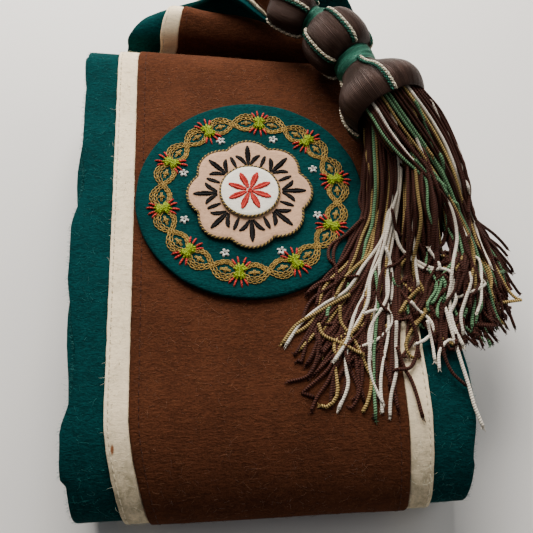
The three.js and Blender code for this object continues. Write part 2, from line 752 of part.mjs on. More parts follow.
const sash = new THREE.Group();
buildFelt(sash);
buildBadge(sash);
buildTassel(sash);

export default sash;
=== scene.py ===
"""A ceremonial shoulder sash of wool felt, folded into a packet, with its badge and tassel."""

import json
import math
import random

import bpy
import numpy as np
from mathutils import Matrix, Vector

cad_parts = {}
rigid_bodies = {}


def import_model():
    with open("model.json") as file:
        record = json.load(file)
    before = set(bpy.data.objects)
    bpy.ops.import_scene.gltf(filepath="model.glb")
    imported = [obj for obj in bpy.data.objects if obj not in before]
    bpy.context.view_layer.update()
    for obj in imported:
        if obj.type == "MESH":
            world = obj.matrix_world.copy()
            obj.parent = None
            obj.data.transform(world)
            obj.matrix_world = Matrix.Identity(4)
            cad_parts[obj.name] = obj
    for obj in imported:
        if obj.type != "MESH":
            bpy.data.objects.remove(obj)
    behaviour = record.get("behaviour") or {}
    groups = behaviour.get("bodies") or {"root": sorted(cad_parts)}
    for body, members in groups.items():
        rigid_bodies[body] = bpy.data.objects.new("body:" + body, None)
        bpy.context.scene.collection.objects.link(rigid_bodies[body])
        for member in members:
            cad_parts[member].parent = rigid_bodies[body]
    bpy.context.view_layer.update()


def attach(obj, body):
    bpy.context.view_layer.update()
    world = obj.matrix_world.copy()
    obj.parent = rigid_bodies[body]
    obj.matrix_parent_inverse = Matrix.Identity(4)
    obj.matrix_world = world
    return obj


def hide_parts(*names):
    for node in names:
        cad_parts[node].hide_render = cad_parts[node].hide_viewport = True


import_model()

bl_info = {
    "name": "Ceremonial sash",
    "version": (1, 0, 0),
    "blender": (4, 5, 0),
    "location": "View3D > Sidebar > Sash",
    "description": "Builds a folded felt sash with an embroidered badge and a corded tassel",
    "category": "Add Mesh",
}

MM = 0.001
BODY = "root"

# How far laid felt rises and sinks over a hand's breadth, in millimetres
SLACK = 0.22


def srgb(code):
    """A scene colour from a hexadecimal display colour."""
    values = [int(code[i : i + 2], 16) / 255 for i in (0, 2, 4)]
    linear = [v / 12.92 if v <= 0.04045 else ((v + 0.055) / 1.055) ** 2.4 for v in values]
    return (*linear, 1.0)


# Settings


def colour_property(name, description, code):
    return bpy.props.FloatVectorProperty(
        name=name, description=description, subtype="COLOR", size=4, min=0, max=1, default=srgb(code)
    )


def length_property(name, description, millimetres):
    return bpy.props.FloatProperty(
        name=name, description=description, default=millimetres * MM, unit="LENGTH", precision=5
    )


def count_property(name, description, count, most):
    return bpy.props.IntProperty(name=name, description=description, default=count, min=0, max=most)


class SashFeltSettings(bpy.types.PropertyGroup):
    band_width: length_property("Band width", "Width of the teal felt band", 137)
    panel_width: length_property("Panel width", "Width of the brown centre panel", 93)
    strip_width: length_property("Strip width", "Width of each cream strip", 8)
    band_thickness: length_property("Band thickness", "Thickness of the teal felt", 1.6)
    panel_thickness: length_property("Panel thickness", "Thickness of the brown felt", 1.6)
    strip_thickness: length_property("Strip thickness", "Thickness of the cream felt", 1.2)
    stitch_length: length_property("Stitch length", "Length of one machine stitch", 2.6)
    fuzz_count: count_property("Loose fibres", "Number of loose fibres on the brown felt", 3600, 6000)
    band_colour: colour_property("Band", "Colour of the teal felt", "003233")
    panel_colour: colour_property("Panel", "Colour of the brown felt", "49291a")
    strip_colour: colour_property("Strips", "Colour of the cream felt", "f9e4bf")


class SashBadgeSettings(bpy.types.PropertyGroup):
    radius: length_property("Radius", "Radius of the round teal patch", 43.4)
    medallion_radius: length_property("Rosette radius", "Outer radius of the beige rosette", 23.5)
    disc_radius: length_property("Disc radius", "Radius of the cream disc", 11)
    ground_colour: colour_property("Patch", "Colour of the round patch", "003434")
    medallion_colour: colour_property("Rosette", "Colour of the beige felt", "c59e80")
    disc_colour: colour_property("Disc", "Colour of the cream disc", "ece6d6")
    gold_colour: colour_property("Gold thread", "Colour of the gold chain stitch", "b8944a")
    leaf_colour: colour_property("Leaf thread", "Colour of the blossoms' leaves", "8fa21c")
    berry_colour: colour_property("Berry thread", "Colour of the blossoms' tips", "cf3b33")


class SashTasselSettings(bpy.types.PropertyGroup):
    cord_radius: length_property("Seam cord radius", "Radius of one twisted seam cord", 0.6)
    fringe_cord_radius: length_property("Fringe cord radius", "Radius of one fringe cord", 0.6)
    fringe_count: count_property("Fringe cords", "Number of cords that fill the fringe", 360, 500)
    floss_colour: colour_property("Floss", "Colour of the wound floss", "1f130e")
    satin_colour: colour_property("Satin", "Colour of the satin at the necks", "1f5443")
    cord_brown: colour_property("Brown cord", "Colour of most fringe cords", "42231a")
    cord_white: colour_property("White cord", "Colour of the white cords", "f8ecd8")
    cord_green: colour_property("Green cord", "Colour of the sage cords", "739d72")
    cord_gold: colour_property("Gold cord", "Colour of the golden brown cords", "b3965c")


class SashStageSettings(bpy.types.PropertyGroup):
    floor_colour: colour_property("Floor", "Colour of the table", "eeebe6")
    key_power: bpy.props.FloatProperty(
        name="Main light", description="Power of the large soft light", default=8.3, min=0, unit="POWER"
    )


# The folded path, in millimetres, as the solids have it

EDGE = 68.5
BASE_FACE = 0.8
PANEL_FACE = 2.7
STRIP_FACE = 2.3
NEAR_TIP_Y = -92.5 + PANEL_FACE
FAR_FOLD_Y = {"left": 93, "right": 76.5}
LEG_PITCH = 2.1
RUN_GAPS = {"left": (3.5, 4, 4), "right": (2, 2.5, 2.5)}
NEAR_TOP_REACH = 38
NEAR_BOTTOM_REACH = 16
INNER_FOLD_Y = -66
CLOSED_END_SETBACK = 8
FOLD_STEPS = 14
RUN_STEPS = 24
TOP_STEPS = 64

# Waviness of the long edges of the top run, outward positive: y, left, right
TOP_EDGES = np.array([
    (-88, 0, -1.5), (-78, 2, 0.5), (-66, 1, 1.5), (-50, -2.6, 1.5), (-38, -2.8, 0.5), (-24, -0.6, -1.5),
    (-8, 1.4, -2.5), (12, 1.6, -2), (32, -2.2, -1), (52, -0.6, -2.5), (78, -0.5, -3.5),
])
HIDDEN_WAVE = {"height": 1.1, "length": 61}

# Both sides of the band are drawn in toward the rounded near end, the left one more
NEAR_DRAW = {"start": -62, "reach": 30, "most": 5.2, "shares": np.array([0.6, 1, 1, -0.7])}

# The gathered ends, row by row across the band: left edge, outer edge of the white strip,
# outer edge of the panel, right edge and fold depth; a row without the middle two is straight
ANCHORS = np.array([-EDGE, -54.8, -46.5, EDGE])
INNER_END = [
    ((-66, 99, 4.9), None, None, (68, 86, 4.8), 0),
    ((-61, 108.5, 12), None, None, (63, 96, 9), 0.2),
    ((-53.6, 112, 26.5), (-39, 112.3, 25.5), (-31, 112.2, 25.2), (57, 99, 19.5), 0.4),
    ((-52, 112.8, 33.8), (-38, 113, 33.2), (-29.3, 112.9, 33.2), (50, 100, 27.5), 0.6),
    ((-46.5, 118, 35.5), (-35.6, 118, 38.6), (-27.5, 117.5, 38), (44, 101, 30.5), 0.8),
    ((-41, 122.5, 34), (-33.6, 121.5, 39), (-26.8, 120.5, 38.8), (39.5, 103.5, 31.5), 0.8),
    ((-36.5, 126, 28.5), (-31, 126, 34.5), (-25.5, 125, 34.2), (36.5, 107.5, 27.5), 0.8),
    ((-34.5, 127.5, 20), (-29.5, 128, 27), (-24.5, 127.5, 27.5), (34, 110, 22), 0.7),
]
OUTER_END = [
    ((-68, 106, 2.7), None, None, (68, 96, 2.7), 0),
    ((-62, 120, 5.5), None, None, (63, 109, 4.5), 0.3),
    ((-50, 132, 13), None, None, (57, 121, 13), 0.6),
    ((-36, 137, 22.5), None, None, (50, 132, 27), 1),
    ((-18.4, 127, 37), (-15, 128.5, 38.5), (-12, 130, 40), (36, 134, 45), 0.9),
    ((-11.5, 120.5, 45.5), (-9.5, 123.5, 45.8), (-7, 126.5, 46), (27, 129, 54.5), 0.7),
    ((-3.4, 116, 47.4), (-2, 119.5, 46.4), (0, 122.5, 46.5), (21.5, 124, 58.5), 0.5),
    ((4, 111.5, 44.2), (5, 114, 43.4), (6.8, 116.8, 43.6), (18, 118.5, 59), 0.4),
    ((9.6, 108.4, 41.6), (10.1, 110.2, 41.6), (11, 112, 42.4), (15.2, 115, 57.6), 0.3),
]
END_STEPS = 8
PLEATS = 2


def unit(vectors):
    vectors = np.asarray(vectors, float)
    return vectors / np.maximum(np.linalg.norm(vectors, axis=-1, keepdims=True), 1e-9)


def travelled(path):
    """The length from a path's start to each of its points."""
    return np.concatenate([[0], np.cumsum(np.linalg.norm(np.diff(path, axis=0), axis=1))])


def at_lengths(path, along, places):
    """Points of a path at places along it, where 'along' is the length at each of its own points."""
    return np.column_stack([np.interp(places, along, column) for column in path.T])


def eased(share):
    """A share between 0 and 1 that starts and stops softly."""
    share = np.clip(share, 0, 1)
    return share * share * (3 - 2 * share)


def swell(seed, first, second, wavelength, waves=5):
    """Smooth unevenness between -1 and 1 over two coordinates, the same on every run."""
    rng = random.Random(seed)
    first, second = np.broadcast_arrays(np.asarray(first, float), np.asarray(second, float))
    total = np.zeros(first.shape)
    for _ in range(waves):
        heading = rng.uniform(0, math.pi)
        length = wavelength * rng.uniform(0.7, 1.5)
        phase = rng.uniform(0, 2 * math.pi)
        along = first * math.cos(heading) + second * math.sin(heading)
        total += np.sin(2 * math.pi * along / length + phase)
    return total / waves


def leg_heights(side):
    lows = [PANEL_FACE]
    for spacing in RUN_GAPS[side]:
        lows.append(lows[-1] + LEG_PITCH + 2 * PANEL_FACE + spacing)
    return [(low, low + LEG_PITCH) for low in lows]


def arc(centre_y, centre_z, reach_y, reach_z, start, end, steps):
    turn = np.linspace(start, end, steps + 1)
    return np.column_stack([centre_y + reach_y * np.sin(turn), centre_z + reach_z * np.cos(turn)])


def straight(start, end, z, steps):
    y = np.linspace(start, end, steps + 1)[1:-1]
    return np.column_stack([y, np.full(len(y), z)])


def fold(y, low, high, toward, rising):
    reach = (high - low) / 2
    start, end = (math.pi, 0) if rising else (0, math.pi)
    return arc(y, (low + high) / 2, reach * toward, reach, start, end, FOLD_STEPS)


def near_end(low, high, inset, rising):
    middle, reach = (low + high) / 2, (high - low) / 2
    tip = NEAR_TIP_Y + inset
    upper, lower = NEAR_TOP_REACH - inset, NEAR_BOTTOM_REACH - inset
    top = arc(tip + upper, middle, -upper, reach, 0, math.pi / 2, 18)
    bottom = arc(tip + lower, middle, -lower, reach, math.pi / 2, math.pi, 12)
    downward = np.vstack([top, bottom[1:]])
    return downward[::-1] if rising else downward


def loop_profile(side):
    bottom, second, third, top = leg_heights(side)
    far = FAR_FOLD_Y[side]
    closed = far - CLOSED_END_SETBACK
    return np.vstack([
        [(far, bottom[1])],
        straight(far, NEAR_TIP_Y + NEAR_BOTTOM_REACH, bottom[1], RUN_STEPS),
        near_end(bottom[1], top[0], LEG_PITCH, True),
        straight(NEAR_TIP_Y + NEAR_TOP_REACH, far, top[0], RUN_STEPS),
        fold(far, second[1], top[0], 1, False),
        straight(far, INNER_FOLD_Y, second[1], RUN_STEPS),
        fold(INNER_FOLD_Y, second[1], third[0], -1, True),
        straight(INNER_FOLD_Y, closed, third[0], RUN_STEPS),
        fold(closed, third[0], third[1], 1, True),
        straight(closed, INNER_FOLD_Y, third[1], RUN_STEPS),
        fold(INNER_FOLD_Y, second[0], third[1], -1, False),
        straight(INNER_FOLD_Y, far, second[0], RUN_STEPS),
        fold(far, second[0], top[1], 1, True),
        straight(far, NEAR_TIP_Y + NEAR_TOP_REACH, top[1], TOP_STEPS),
        near_end(bottom[0], top[1], 0, False),
        straight(NEAR_TIP_Y + NEAR_BOTTOM_REACH, far, bottom[0], RUN_STEPS),
        [(far, bottom[0])],
    ])


def smooth_table(y, column):
    """A value from the edge table, eased from row to row."""
    place = np.clip(np.searchsorted(TOP_EDGES[:, 0], y, side="right"), 1, len(TOP_EDGES) - 1)
    low, high = TOP_EDGES[place - 1], TOP_EDGES[place]
    share = eased((y - low[:, 0]) / (high[:, 0] - low[:, 0]))
    return low[:, column] + (high[:, column] - low[:, column]) * share


def through_points(points, steps):
    """A smooth curve through points, evenly many steps between each two."""
    points = np.asarray(points, float)
    padded = np.vstack([2 * points[0] - points[1], points, 2 * points[-1] - points[-2]])
    result = []
    for i in range(len(points) - 1):
        p0, p1, p2, p3 = padded[i : i + 4]
        d0, d1, d2 = (max(np.linalg.norm(b - a), 1e-6) ** 0.5 for a, b in ((p0, p1), (p1, p2), (p2, p3)))
        t1 = ((p1 - p0) / d0 - (p2 - p0) / (d0 + d1) + (p2 - p1) / d1) * d1
        t2 = ((p2 - p1) / d1 - (p3 - p1) / (d1 + d2) + (p3 - p2) / d2) * d1
        t = np.linspace(0, 1, steps + 1)[:, None]
        if i:
            t = t[1:]
        result.append(
            p1 + t1 * t + (3 * (p2 - p1) - 2 * t1 - t2) * t**2 + (2 * (p1 - p2) + t1 + t2) * t**3
        )
    return np.vstack(result)


def across_line(left, right):
    """The four anchor points of a straight line across the band."""
    left, right = np.asarray(left, float), np.asarray(right, float)
    share = (ANCHORS + EDGE) / (2 * EDGE)
    return left[..., None, :] + (right - left)[..., None, :] * share[:, None]


def end_rows(rows):
    lines = np.array([across_line(row[0], row[3]) for row in rows])
    for line, row in zip(lines, rows):
        if row[1]:
            line[1], line[2] = row[1], row[2]
    curves = np.stack([through_points(lines[:, k], END_STEPS) for k in range(4)], axis=1)
    place = np.linspace(0, len(rows) - 1, len(curves))
    return curves, np.interp(place, range(len(rows)), [row[4] for row in rows])


class BandPath:
    """The band's middle surface: stations along it, each a line of four points across."""

    softening = (-5, -2.5, 0, 2.5, 5)

    def __init__(self):
        left, right = loop_profile("left"), loop_profile("right")
        count = len(left)
        on_top = (np.arange(count) > count / 2) & (left[:, 1] > leg_heights("left")[2][1] + 2 * PANEL_FACE)
        phase = 2 * math.pi * travelled(left) / HIDDEN_WAVE["length"]
        hidden = HIDDEN_WAVE["height"]
        shift_left = np.where(on_top, smooth_table(left[:, 0], 1), hidden * np.sin(phase))
        shift_right = np.where(on_top, smooth_table(left[:, 0], 2), hidden * np.cos(phase))
        inner, inner_pleat = end_rows(INNER_END)
        outer, outer_pleat = end_rows(OUTER_END)
        across = np.full((count, 1), EDGE)
        packet = across_line(np.hstack([-across, left]), np.hstack([across, right]))
        inward = np.clip((NEAR_DRAW["start"] - left[:, 0]) / NEAR_DRAW["reach"], 0, None)
        drawn = NEAR_DRAW["most"] * inward**1.5
        packet[:, :, 0] += drawn[:, None] * NEAR_DRAW["shares"]
        self.lines = np.vstack([inner[::-1], packet, outer])
        self.pleat = np.concatenate([inner_pleat[::-1], np.zeros(count), outer_pleat])
        before, after = np.zeros(len(inner)), np.zeros(len(outer))
        self.shift_left = np.concatenate([before, shift_left, after])
        self.shift_right = np.concatenate([before, shift_right, after])
        middle = (self.lines[:, 0] + self.lines[:, 3]) / 2
        travel = np.gradient(middle, axis=0)
        facing = unit(np.cross(travel[:, None], np.diff(self.lines, axis=1)))
        pairs = np.concatenate([facing[:, :1], facing, facing[:, -1:]], axis=1)
        self.normals = unit(pairs[:, :-1] + pairs[:, 1:])
        self.length = travelled(middle)
        self.first_loop = len(inner)
        self.last_loop = self.first_loop + count
        self.top_start = self.first_loop + int(np.argmax(on_top))

    def between(self, values, x):
        """Values at places x across each station from those at the anchors, eased over the anchors."""
        total = 0
        for shift in self.softening:
            place = x + shift
            k = np.clip(np.searchsorted(ANCHORS, place, side="right") - 1, 0, 2)
            share = ((place - ANCHORS[k]) / (ANCHORS[k + 1] - ANCHORS[k]))[..., None]
            first = np.take_along_axis(values, k[..., None], axis=1)
            second = np.take_along_axis(values, k[..., None] + 1, axis=1)
            total = total + first + (second - first) * share
        return total / len(self.softening)

    def normal_at(self, x):
        x = np.broadcast_to(x, (len(self.lines), x.shape[1]))
        return unit(self.between(self.normals, np.clip(x, -EDGE, EDGE)))

    def surface(self, x, height):
        """Points at places x across each station, x as (stations, places), at a height over the middle."""
        x = np.broadcast_to(x, (len(self.lines), x.shape[1]))
        share = (x + EDGE) / (2 * EDGE)
        wave = np.cos(2 * math.pi * PLEATS * np.clip(share, 0, 1)) * self.pleat[:, None]
        lift = height + wave + swell(11, x, self.length[:, None], 46) * SLACK
        return self.between(self.lines, x) + self.normal_at(x) * lift[..., None]


BAND = BandPath()


# Meshes


def beside_path(path, up):
    """Directions to the side and to the top of each point of a path, which never runs along 'up'."""
    travel = unit(np.gradient(path, axis=0))
    side = unit(np.cross(travel, up))
    return side, np.cross(side, travel)


def spokes(count, start=0.0):
    """Evenly spaced turns round a middle: each angle, its direction and the one beside it."""
    for k in range(count):
        angle = start + k * 2 * math.pi / count
        ahead = np.array([math.cos(angle), math.sin(angle)])
        yield angle, ahead, np.array([-ahead[1], ahead[0]])


def object_from(name, mesh, material):
    """A new object in the scene, with its mesh and material."""
    mesh.materials.append(material)
    piece = bpy.data.objects.new(name, mesh)
    bpy.context.scene.collection.objects.link(piece)
    return piece


class Weave:
    """Gathers shells, tubes and stitches, and makes one mesh of them."""

    # A stitch from end to end: place along it, rise over the felt and thickness, as shares
    stitch_shape = np.array([
        (0, -0.9, 0.55), (0.12, 0.1, 0.85), (0.3, 0.85, 1), (0.5, 1, 1), (0.7, 0.85, 1), (0.88, 0.1, 0.85),
        (1, -0.9, 0.55),
    ])

    def __init__(self):
        self.points, self.faces, self.uvs, self.tints = [], [], [], []
        self.count = 0

    def shell(self, rows, uv, tint=0.5, caps=True):
        """Quads over closed rings of points, (rings, places, 3), with a face on each end."""
        n, m = rows.shape[:2]
        index = np.arange(n * m).reshape(n, m) + self.count
        index = np.concatenate([index, index[:, :1]], axis=1)
        here, ahead = slice(None, -1), slice(1, None)
        corners = (here, here), (here, ahead), (ahead, ahead), (ahead, here)
        self.faces.extend(np.stack([index[corner] for corner in corners], axis=-1).reshape(-1, 4).tolist())
        self.uvs.append(np.stack([uv[corner] for corner in corners], axis=2).reshape(-1, 2))
        self.points.append(rows.reshape(-1, 3))
        self.tints.append(np.full(n * m, tint))
        if caps:
            self.faces += [index[0, :m][::-1].tolist(), index[-1, :m].tolist()]
            self.uvs += [np.tile(uv[0, 0], (m, 1)), np.tile(uv[-1, 0], (m, 1))]
        self.count += n * m

    def tube(self, path, radius, up, sides, tint):
        """A closed tube along a path; 'up' is any direction that the path never follows."""
        path = np.asarray(path, float)
        side, top = beside_path(path, up)
        radius = np.broadcast_to(radius, (len(path),))[:, None, None]
        turn = np.linspace(0, 2 * math.pi, sides + 1)[:-1, None]
        ring = side[:, None] * np.cos(turn) + top[:, None] * np.sin(turn)
        around, along = np.linspace(0, 1, sides + 1), travelled(path)[:, None] * MM
        uv = np.stack(np.broadcast_arrays(around, along), axis=-1)
        self.shell(path[:, None] + ring * radius, uv, tint)

    def stitch(self, start, end, radius, up, sides, lift, tint=0.5):
        """One short thread: its ends go down into the felt and its middle stands proud."""
        share, rise, thickness = (column[:, None] for column in self.stitch_shape.T)
        path = start + (end - start) * share + up * (rise * lift)
        self.tube(path, thickness[:, 0] * radius, up, sides, tint)

    def piece(self, name, material, slot, nodes=()):
        """Makes the mesh, with its UV layer 'lay' and its tints, and puts the piece in the frame."""
        mesh = bpy.data.meshes.new(name)
        mesh.from_pydata((np.vstack(self.points) * MM).tolist(), [], self.faces)
        lay = mesh.uv_layers.new(name="lay")
        lay.data.foreach_set("uv", np.vstack(self.uvs).astype(np.float32).ravel())
        tint = mesh.attributes.new("tint", "FLOAT", "POINT")
        tint.data.foreach_set("value", np.concatenate(self.tints).astype(np.float32))
        mesh.shade_smooth()
        mesh.validate()
        piece = object_from(name, mesh, material)
        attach(piece, BODY)
        if nodes:
            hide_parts(*nodes)


# Plies of a twisted cord, as shares of the cord's radius
PLY_REACH = 0.56
PLY_RADIUS = 0.5


def twisted_cord(weave, path, up, radius, pitch, tints, phase=0.0, samples=7, sides=5):
    """A cord of plies that wind round each other along a path."""
    along = travelled(path)
    even = np.linspace(0, along[-1], max(int(along[-1] / pitch * samples), 4))
    centre = at_lengths(path, along, even)
    upright = unit(at_lengths(np.broadcast_to(up, path.shape), along, even))
    side, top = beside_path(centre, upright)
    for ply, tint in enumerate(tints):
        turn = (2 * math.pi * (even / pitch + ply / len(tints)) + phase)[:, None]
        offset = (side * np.cos(turn) + top * np.sin(turn)) * radius * PLY_REACH
        weave.tube(centre + offset, radius * PLY_RADIUS, upright, sides, tint)


# Material building

WHITE = (1, 1, 1, 1)
GREY = (0.5, 0.5, 0.5, 1)

# A full turn in radians, for the waves in the materials
TURN = 6.2832


class Wire:
    """A value in a node tree. Sums and products of wires become Math nodes."""

    def __init__(self, socket):
        self.socket, self.tree = socket, socket.id_data

    def math(self, operation, *values):
        node = put(self.tree, "ShaderNodeMath", {"operation": operation})
        for socket, value in zip(node.inputs, values):
            feed(socket, value)
        return Wire(node.outputs[0])

    def __add__(self, other):
        return self.math("ADD", self, other)

    def __sub__(self, other):
        return self.math("SUBTRACT", self, other)

    def __rsub__(self, other):
        return self.math("SUBTRACT", other, self)

    def __mul__(self, other):
        return self.math("MULTIPLY", self, other)

    def __truediv__(self, other):
        return self.math("DIVIDE", self, other)

    def __abs__(self):
        return self.math("ABSOLUTE", self)

    def sine(self):
        return self.math("SINE", self)


def feed(socket, value):
    """Links a wire to a socket, or sets the socket's own value."""
    if isinstance(value, Wire):
        value.tree.links.new(value.socket, socket)
    else:
        socket.default_value = value


def put(tree, kind, settings=None, **inputs):
    """Adds a node with its settings and its inputs."""
    node = tree.nodes.new(kind)
    for key, value in (settings or {}).items():
        setattr(node, key, value)
    for key, value in inputs.items():
        feed(node.inputs[key.replace("_", " ")], value)
    return node


def blend(factor, first, second, mode="MIX"):
    """A colour between two, or with the mode MULTIPLY the first dyed by the second."""
    tree = next(item.tree for item in (factor, first) if isinstance(item, Wire))
    node = put(tree, "ShaderNodeMix", {"data_type": "RGBA", "blend_type": mode, "clamp_factor": True})
    for place, value in ((0, factor), (6, first), (7, second)):
        feed(node.inputs[place], value)
    return Wire(node.outputs[2])


def ramp(value, low, high, start=0.0, end=1.0):
    """Turns a value between low and high softly into one between start and end."""
    return Wire(put(
        value.tree, "ShaderNodeMapRange", {"interpolation_type": "SMOOTHSTEP"},
        Value=value, From_Min=low, From_Max=high, To_Min=start, To_Max=end,
    ).outputs[0])


def noise(place, scale, detail, distortion=0.0, roughness=0.5):
    return Wire(put(
        place.tree, "ShaderNodeTexNoise",
        Vector=place, Scale=scale, Detail=detail, Distortion=distortion, Roughness=roughness,
    ).outputs[0])


def stretched(place, x, y, z):
    return Wire(put(place.tree, "ShaderNodeMapping", Vector=place, Scale=(x, y, z)).outputs[0])


def own_place(tree):
    """Where a point is on the object, in metres."""
    return Wire(put(tree, "ShaderNodeTexCoord").outputs["Object"])


def parts_of(vector):
    """The X and Y parts of a vector."""
    parts = put(vector.tree, "ShaderNodeSeparateXYZ", Vector=vector).outputs
    return Wire(parts["X"]), Wire(parts["Y"])


def own_lay(tree):
    """Where a point is on its piece laid flat."""
    return Wire(put(tree, "ShaderNodeUVMap", {"uv_map": "lay"}).outputs[0])


def own_tint(tree):
    """The shade that each cord, thread or fibre has for itself, from 0 to 1."""
    return Wire(put(tree, "ShaderNodeAttribute", {"attribute_name": "tint"}).outputs["Fac"])


def toned(colour, by, plus=0.0):
    """A colour made darker or lighter."""
    return tuple(min(c * by + plus, 1) for c in colour[:3]) + (1,)


class Effect:
    """A shader node group, built at its first use and placed in each material with its own values."""

    def __init__(self, name, recipe, **inputs):
        self.name, self.recipe, self.inputs, self.tree = name, recipe, inputs, None

    def build(self):
        self.tree = bpy.data.node_groups.new(self.name, "ShaderNodeTree")
        for label, value in self.inputs.items():
            self.socket(label.replace("_", " "), "INPUT", isinstance(value, tuple)).default_value = value
        given = self.tree.nodes.new("NodeGroupInput").outputs
        made = self.recipe(self.tree, *(Wire(socket) for socket in given[: len(self.inputs)]))
        for label in made:
            self.socket(label, "OUTPUT", label == "Colour")
        result = self.tree.nodes.new("NodeGroupOutput").inputs
        for label, wire in made.items():
            feed(result[label], wire)

    def socket(self, label, side, is_colour):
        kind = "NodeSocketColor" if is_colour else "NodeSocketFloat"
        return self.tree.interface.new_socket(label, in_out=side, socket_type=kind)

    def place(self, tree, **values):
        if not self.tree:
            self.build()
        node = put(tree, "ShaderNodeGroup", {"node_tree": self.tree}, **values)
        return {socket.name: Wire(socket) for socket in node.outputs}


def felt_recipe(tree, colour, fibre_colour, cloud_share, fibre_share):
    """Pressed wool: cloudy dye, a wavy nap drawn out across the band and stray fibres."""
    place = own_place(tree)
    cloud = noise(place, 60, 3)
    nap = noise(stretched(place, 1, 2.6, 2.6), 300, 3, distortion=0.9, roughness=0.6)
    fine = noise(stretched(place, 1, 1.8, 1.8), 950, 2, distortion=0.6, roughness=0.6)
    grain = noise(place, 2600, 2, roughness=0.7)
    crimp = noise(stretched(place, 1, 2, 2), 520, 1.5, distortion=1.6)
    hair = ramp(abs(crimp - 0.5), 0.0, 0.014, 1, 0) * ramp(noise(place, 230, 2), 0.5, 0.66)
    dark = blend(1.0, colour, (0.36, 0.34, 0.34, 1), "MULTIPLY")
    bright = blend(1.0, colour, (1.8, 1.75, 1.7, 1), "MULTIPLY")
    level = (nap * 0.45 + fine * 0.55) * 0.8 + cloud * 0.2
    body = blend(cloud_share, colour, blend(ramp(level, 0.38, 0.62), dark, bright))
    body = blend(ramp(grain, 0.46, 0.32) * (fibre_share * 0.8), body, dark)
    body = blend(ramp(grain, 0.58, 0.74) * (fibre_share * 0.5), body, fibre_colour)
    body = blend(hair * fibre_share, body, fibre_colour)
    height = nap * 0.6 + fine * 0.4 + grain * 0.12 + hair * 0.1
    return {"Colour": body, "Height": height, "Roughness": ramp(nap, 0.3, 0.7, 0.85, 0.98)}


def cross_weave_recipe(tree, spacing, wander):
    """A faint cross weave under the felt's nap, along and across the band."""
    drift = noise(own_place(tree), 260, 2) * (wander * 6.0)
    lines = [(part / spacing * TURN + drift).sine() for part in parts_of(own_lay(tree))]
    return {"Height": (lines[0] + lines[1]) * 0.25 + 0.5}


def wound_yarn_recipe(tree, colour, pitch, turns, groove, variation):
    """Yarn that winds round a cord or thread: painted shade in its grooves, fine strands and a shade of its
    own.
    """
    around, along = parts_of(own_lay(tree))
    wind = around * turns + along / pitch
    height = ramp((wind * TURN).sine(), -1.0, 0.7)
    strand = noise(own_place(tree), 3200, 2)
    # Painted shade: the colour darkens down in the grooves between the turns
    shade = 1.0 - (1.0 - height) * groove
    own = (own_tint(tree) - 0.5) * variation + 1.0
    level = shade * own * ramp(strand, 0.25, 0.75, 0.82, 1.15)
    grey = Wire(put(tree, "ShaderNodeCombineColor", Red=level, Green=level, Blue=level).outputs[0])
    return {
        "Colour": blend(1.0, colour, grey, "MULTIPLY"),
        "Height": height + strand * 0.25,
        "Roughness": ramp(height, 0.0, 1.0, 0.85, 0.55),
    }


def laid_floss_recipe(tree, dark, light, threads, fine, broad, dull, glossy):
    """Silky floss laid side by side: fine ridges along its run, with dark and light threads; the strong light
    streaks are partly a painted sheen.
    """
    lay = own_lay(tree)

    def drawn_out(across, along):
        scale = put(tree, "ShaderNodeCombineXYZ", X=across, Y=along, Z=1).outputs[0]
        return Wire(put(tree, "ShaderNodeMapping", Vector=lay, Scale=Wire(scale)).outputs[0])

    thin = noise(drawn_out(fine, 22), 3.0, 3, roughness=0.65)
    wide = noise(drawn_out(broad, 8), 2.0, 2)
    ridge = ((parts_of(lay)[0] * threads + wide * 5.0) * TURN).sine()
    # Dark and light threads: a tone that differs from thread to thread, its bright streaks partly a painted
    # sheen
    share = ramp(thin * 0.65 + wide * 0.35 + ridge * 0.06, 0.34, 0.68)
    return {
        "Colour": blend(share, dark, light),
        "Height": ridge * 0.5 + thin * 0.9,
        "Roughness": ramp(thin, 0.3, 0.7, dull, glossy),
    }


def loose_wool_recipe(tree, dark, light):
    """Loose fibres, each with a shade of its own."""
    return {"Colour": blend(own_tint(tree), dark, light)}


# The brown stain on the left cream strip, by across and along in metres; it is longer along the strip
STAIN = {"place": (-0.0518, -0.0709), "slimness": 0.36, "inner": 0.0003, "outer": 0.0008}


def marks_and_near_shade_recipe(tree, colour, amount):
    """Soft soiling, painted shade mottled over the rounded near end, dark specks and one brown stain."""
    place = own_place(tree)
    # Painted shade: its share grows toward the rounded near end, where the felt turns away from the light
    near = ramp(parts_of(place)[1], -0.055, -0.085)
    shade_mottle = noise(stretched(place, 1.6, 1, 1), 210, 4, roughness=0.7)
    soft = ramp(noise(place, 90, 4, roughness=0.65), 0.48, 0.72) * amount
    colour = blend(soft, colour, (0.5, 0.43, 0.3, 1))
    # Painted shade, mottled, darkening the rounded near end
    colour = blend(ramp(shade_mottle, 0.3, 0.72, 0.25, 0.8) * near, colour, (0.27, 0.23, 0.14, 1))
    speck = ramp(noise(place, 1100, 1), 0.7, 0.76) * amount
    colour = blend(speck, colour, (0.12, 0.13, 0.1, 1))
    across, along = STAIN["place"]
    offset = put(tree, "ShaderNodeVectorMath", {"operation": "SUBTRACT"})
    feed(offset.inputs[0], stretched(place, 1, STAIN["slimness"], 0))
    feed(offset.inputs[1], (across, along * STAIN["slimness"], 0))
    distance = put(tree, "ShaderNodeVectorMath", {"operation": "LENGTH"}, Vector=Wire(offset.outputs[0]))
    stain = ramp(Wire(distance.outputs["Value"]), STAIN["inner"], STAIN["outer"], 1, 0)
    return {"Colour": blend(stain, colour, (0.22, 0.08, 0.03, 1))}


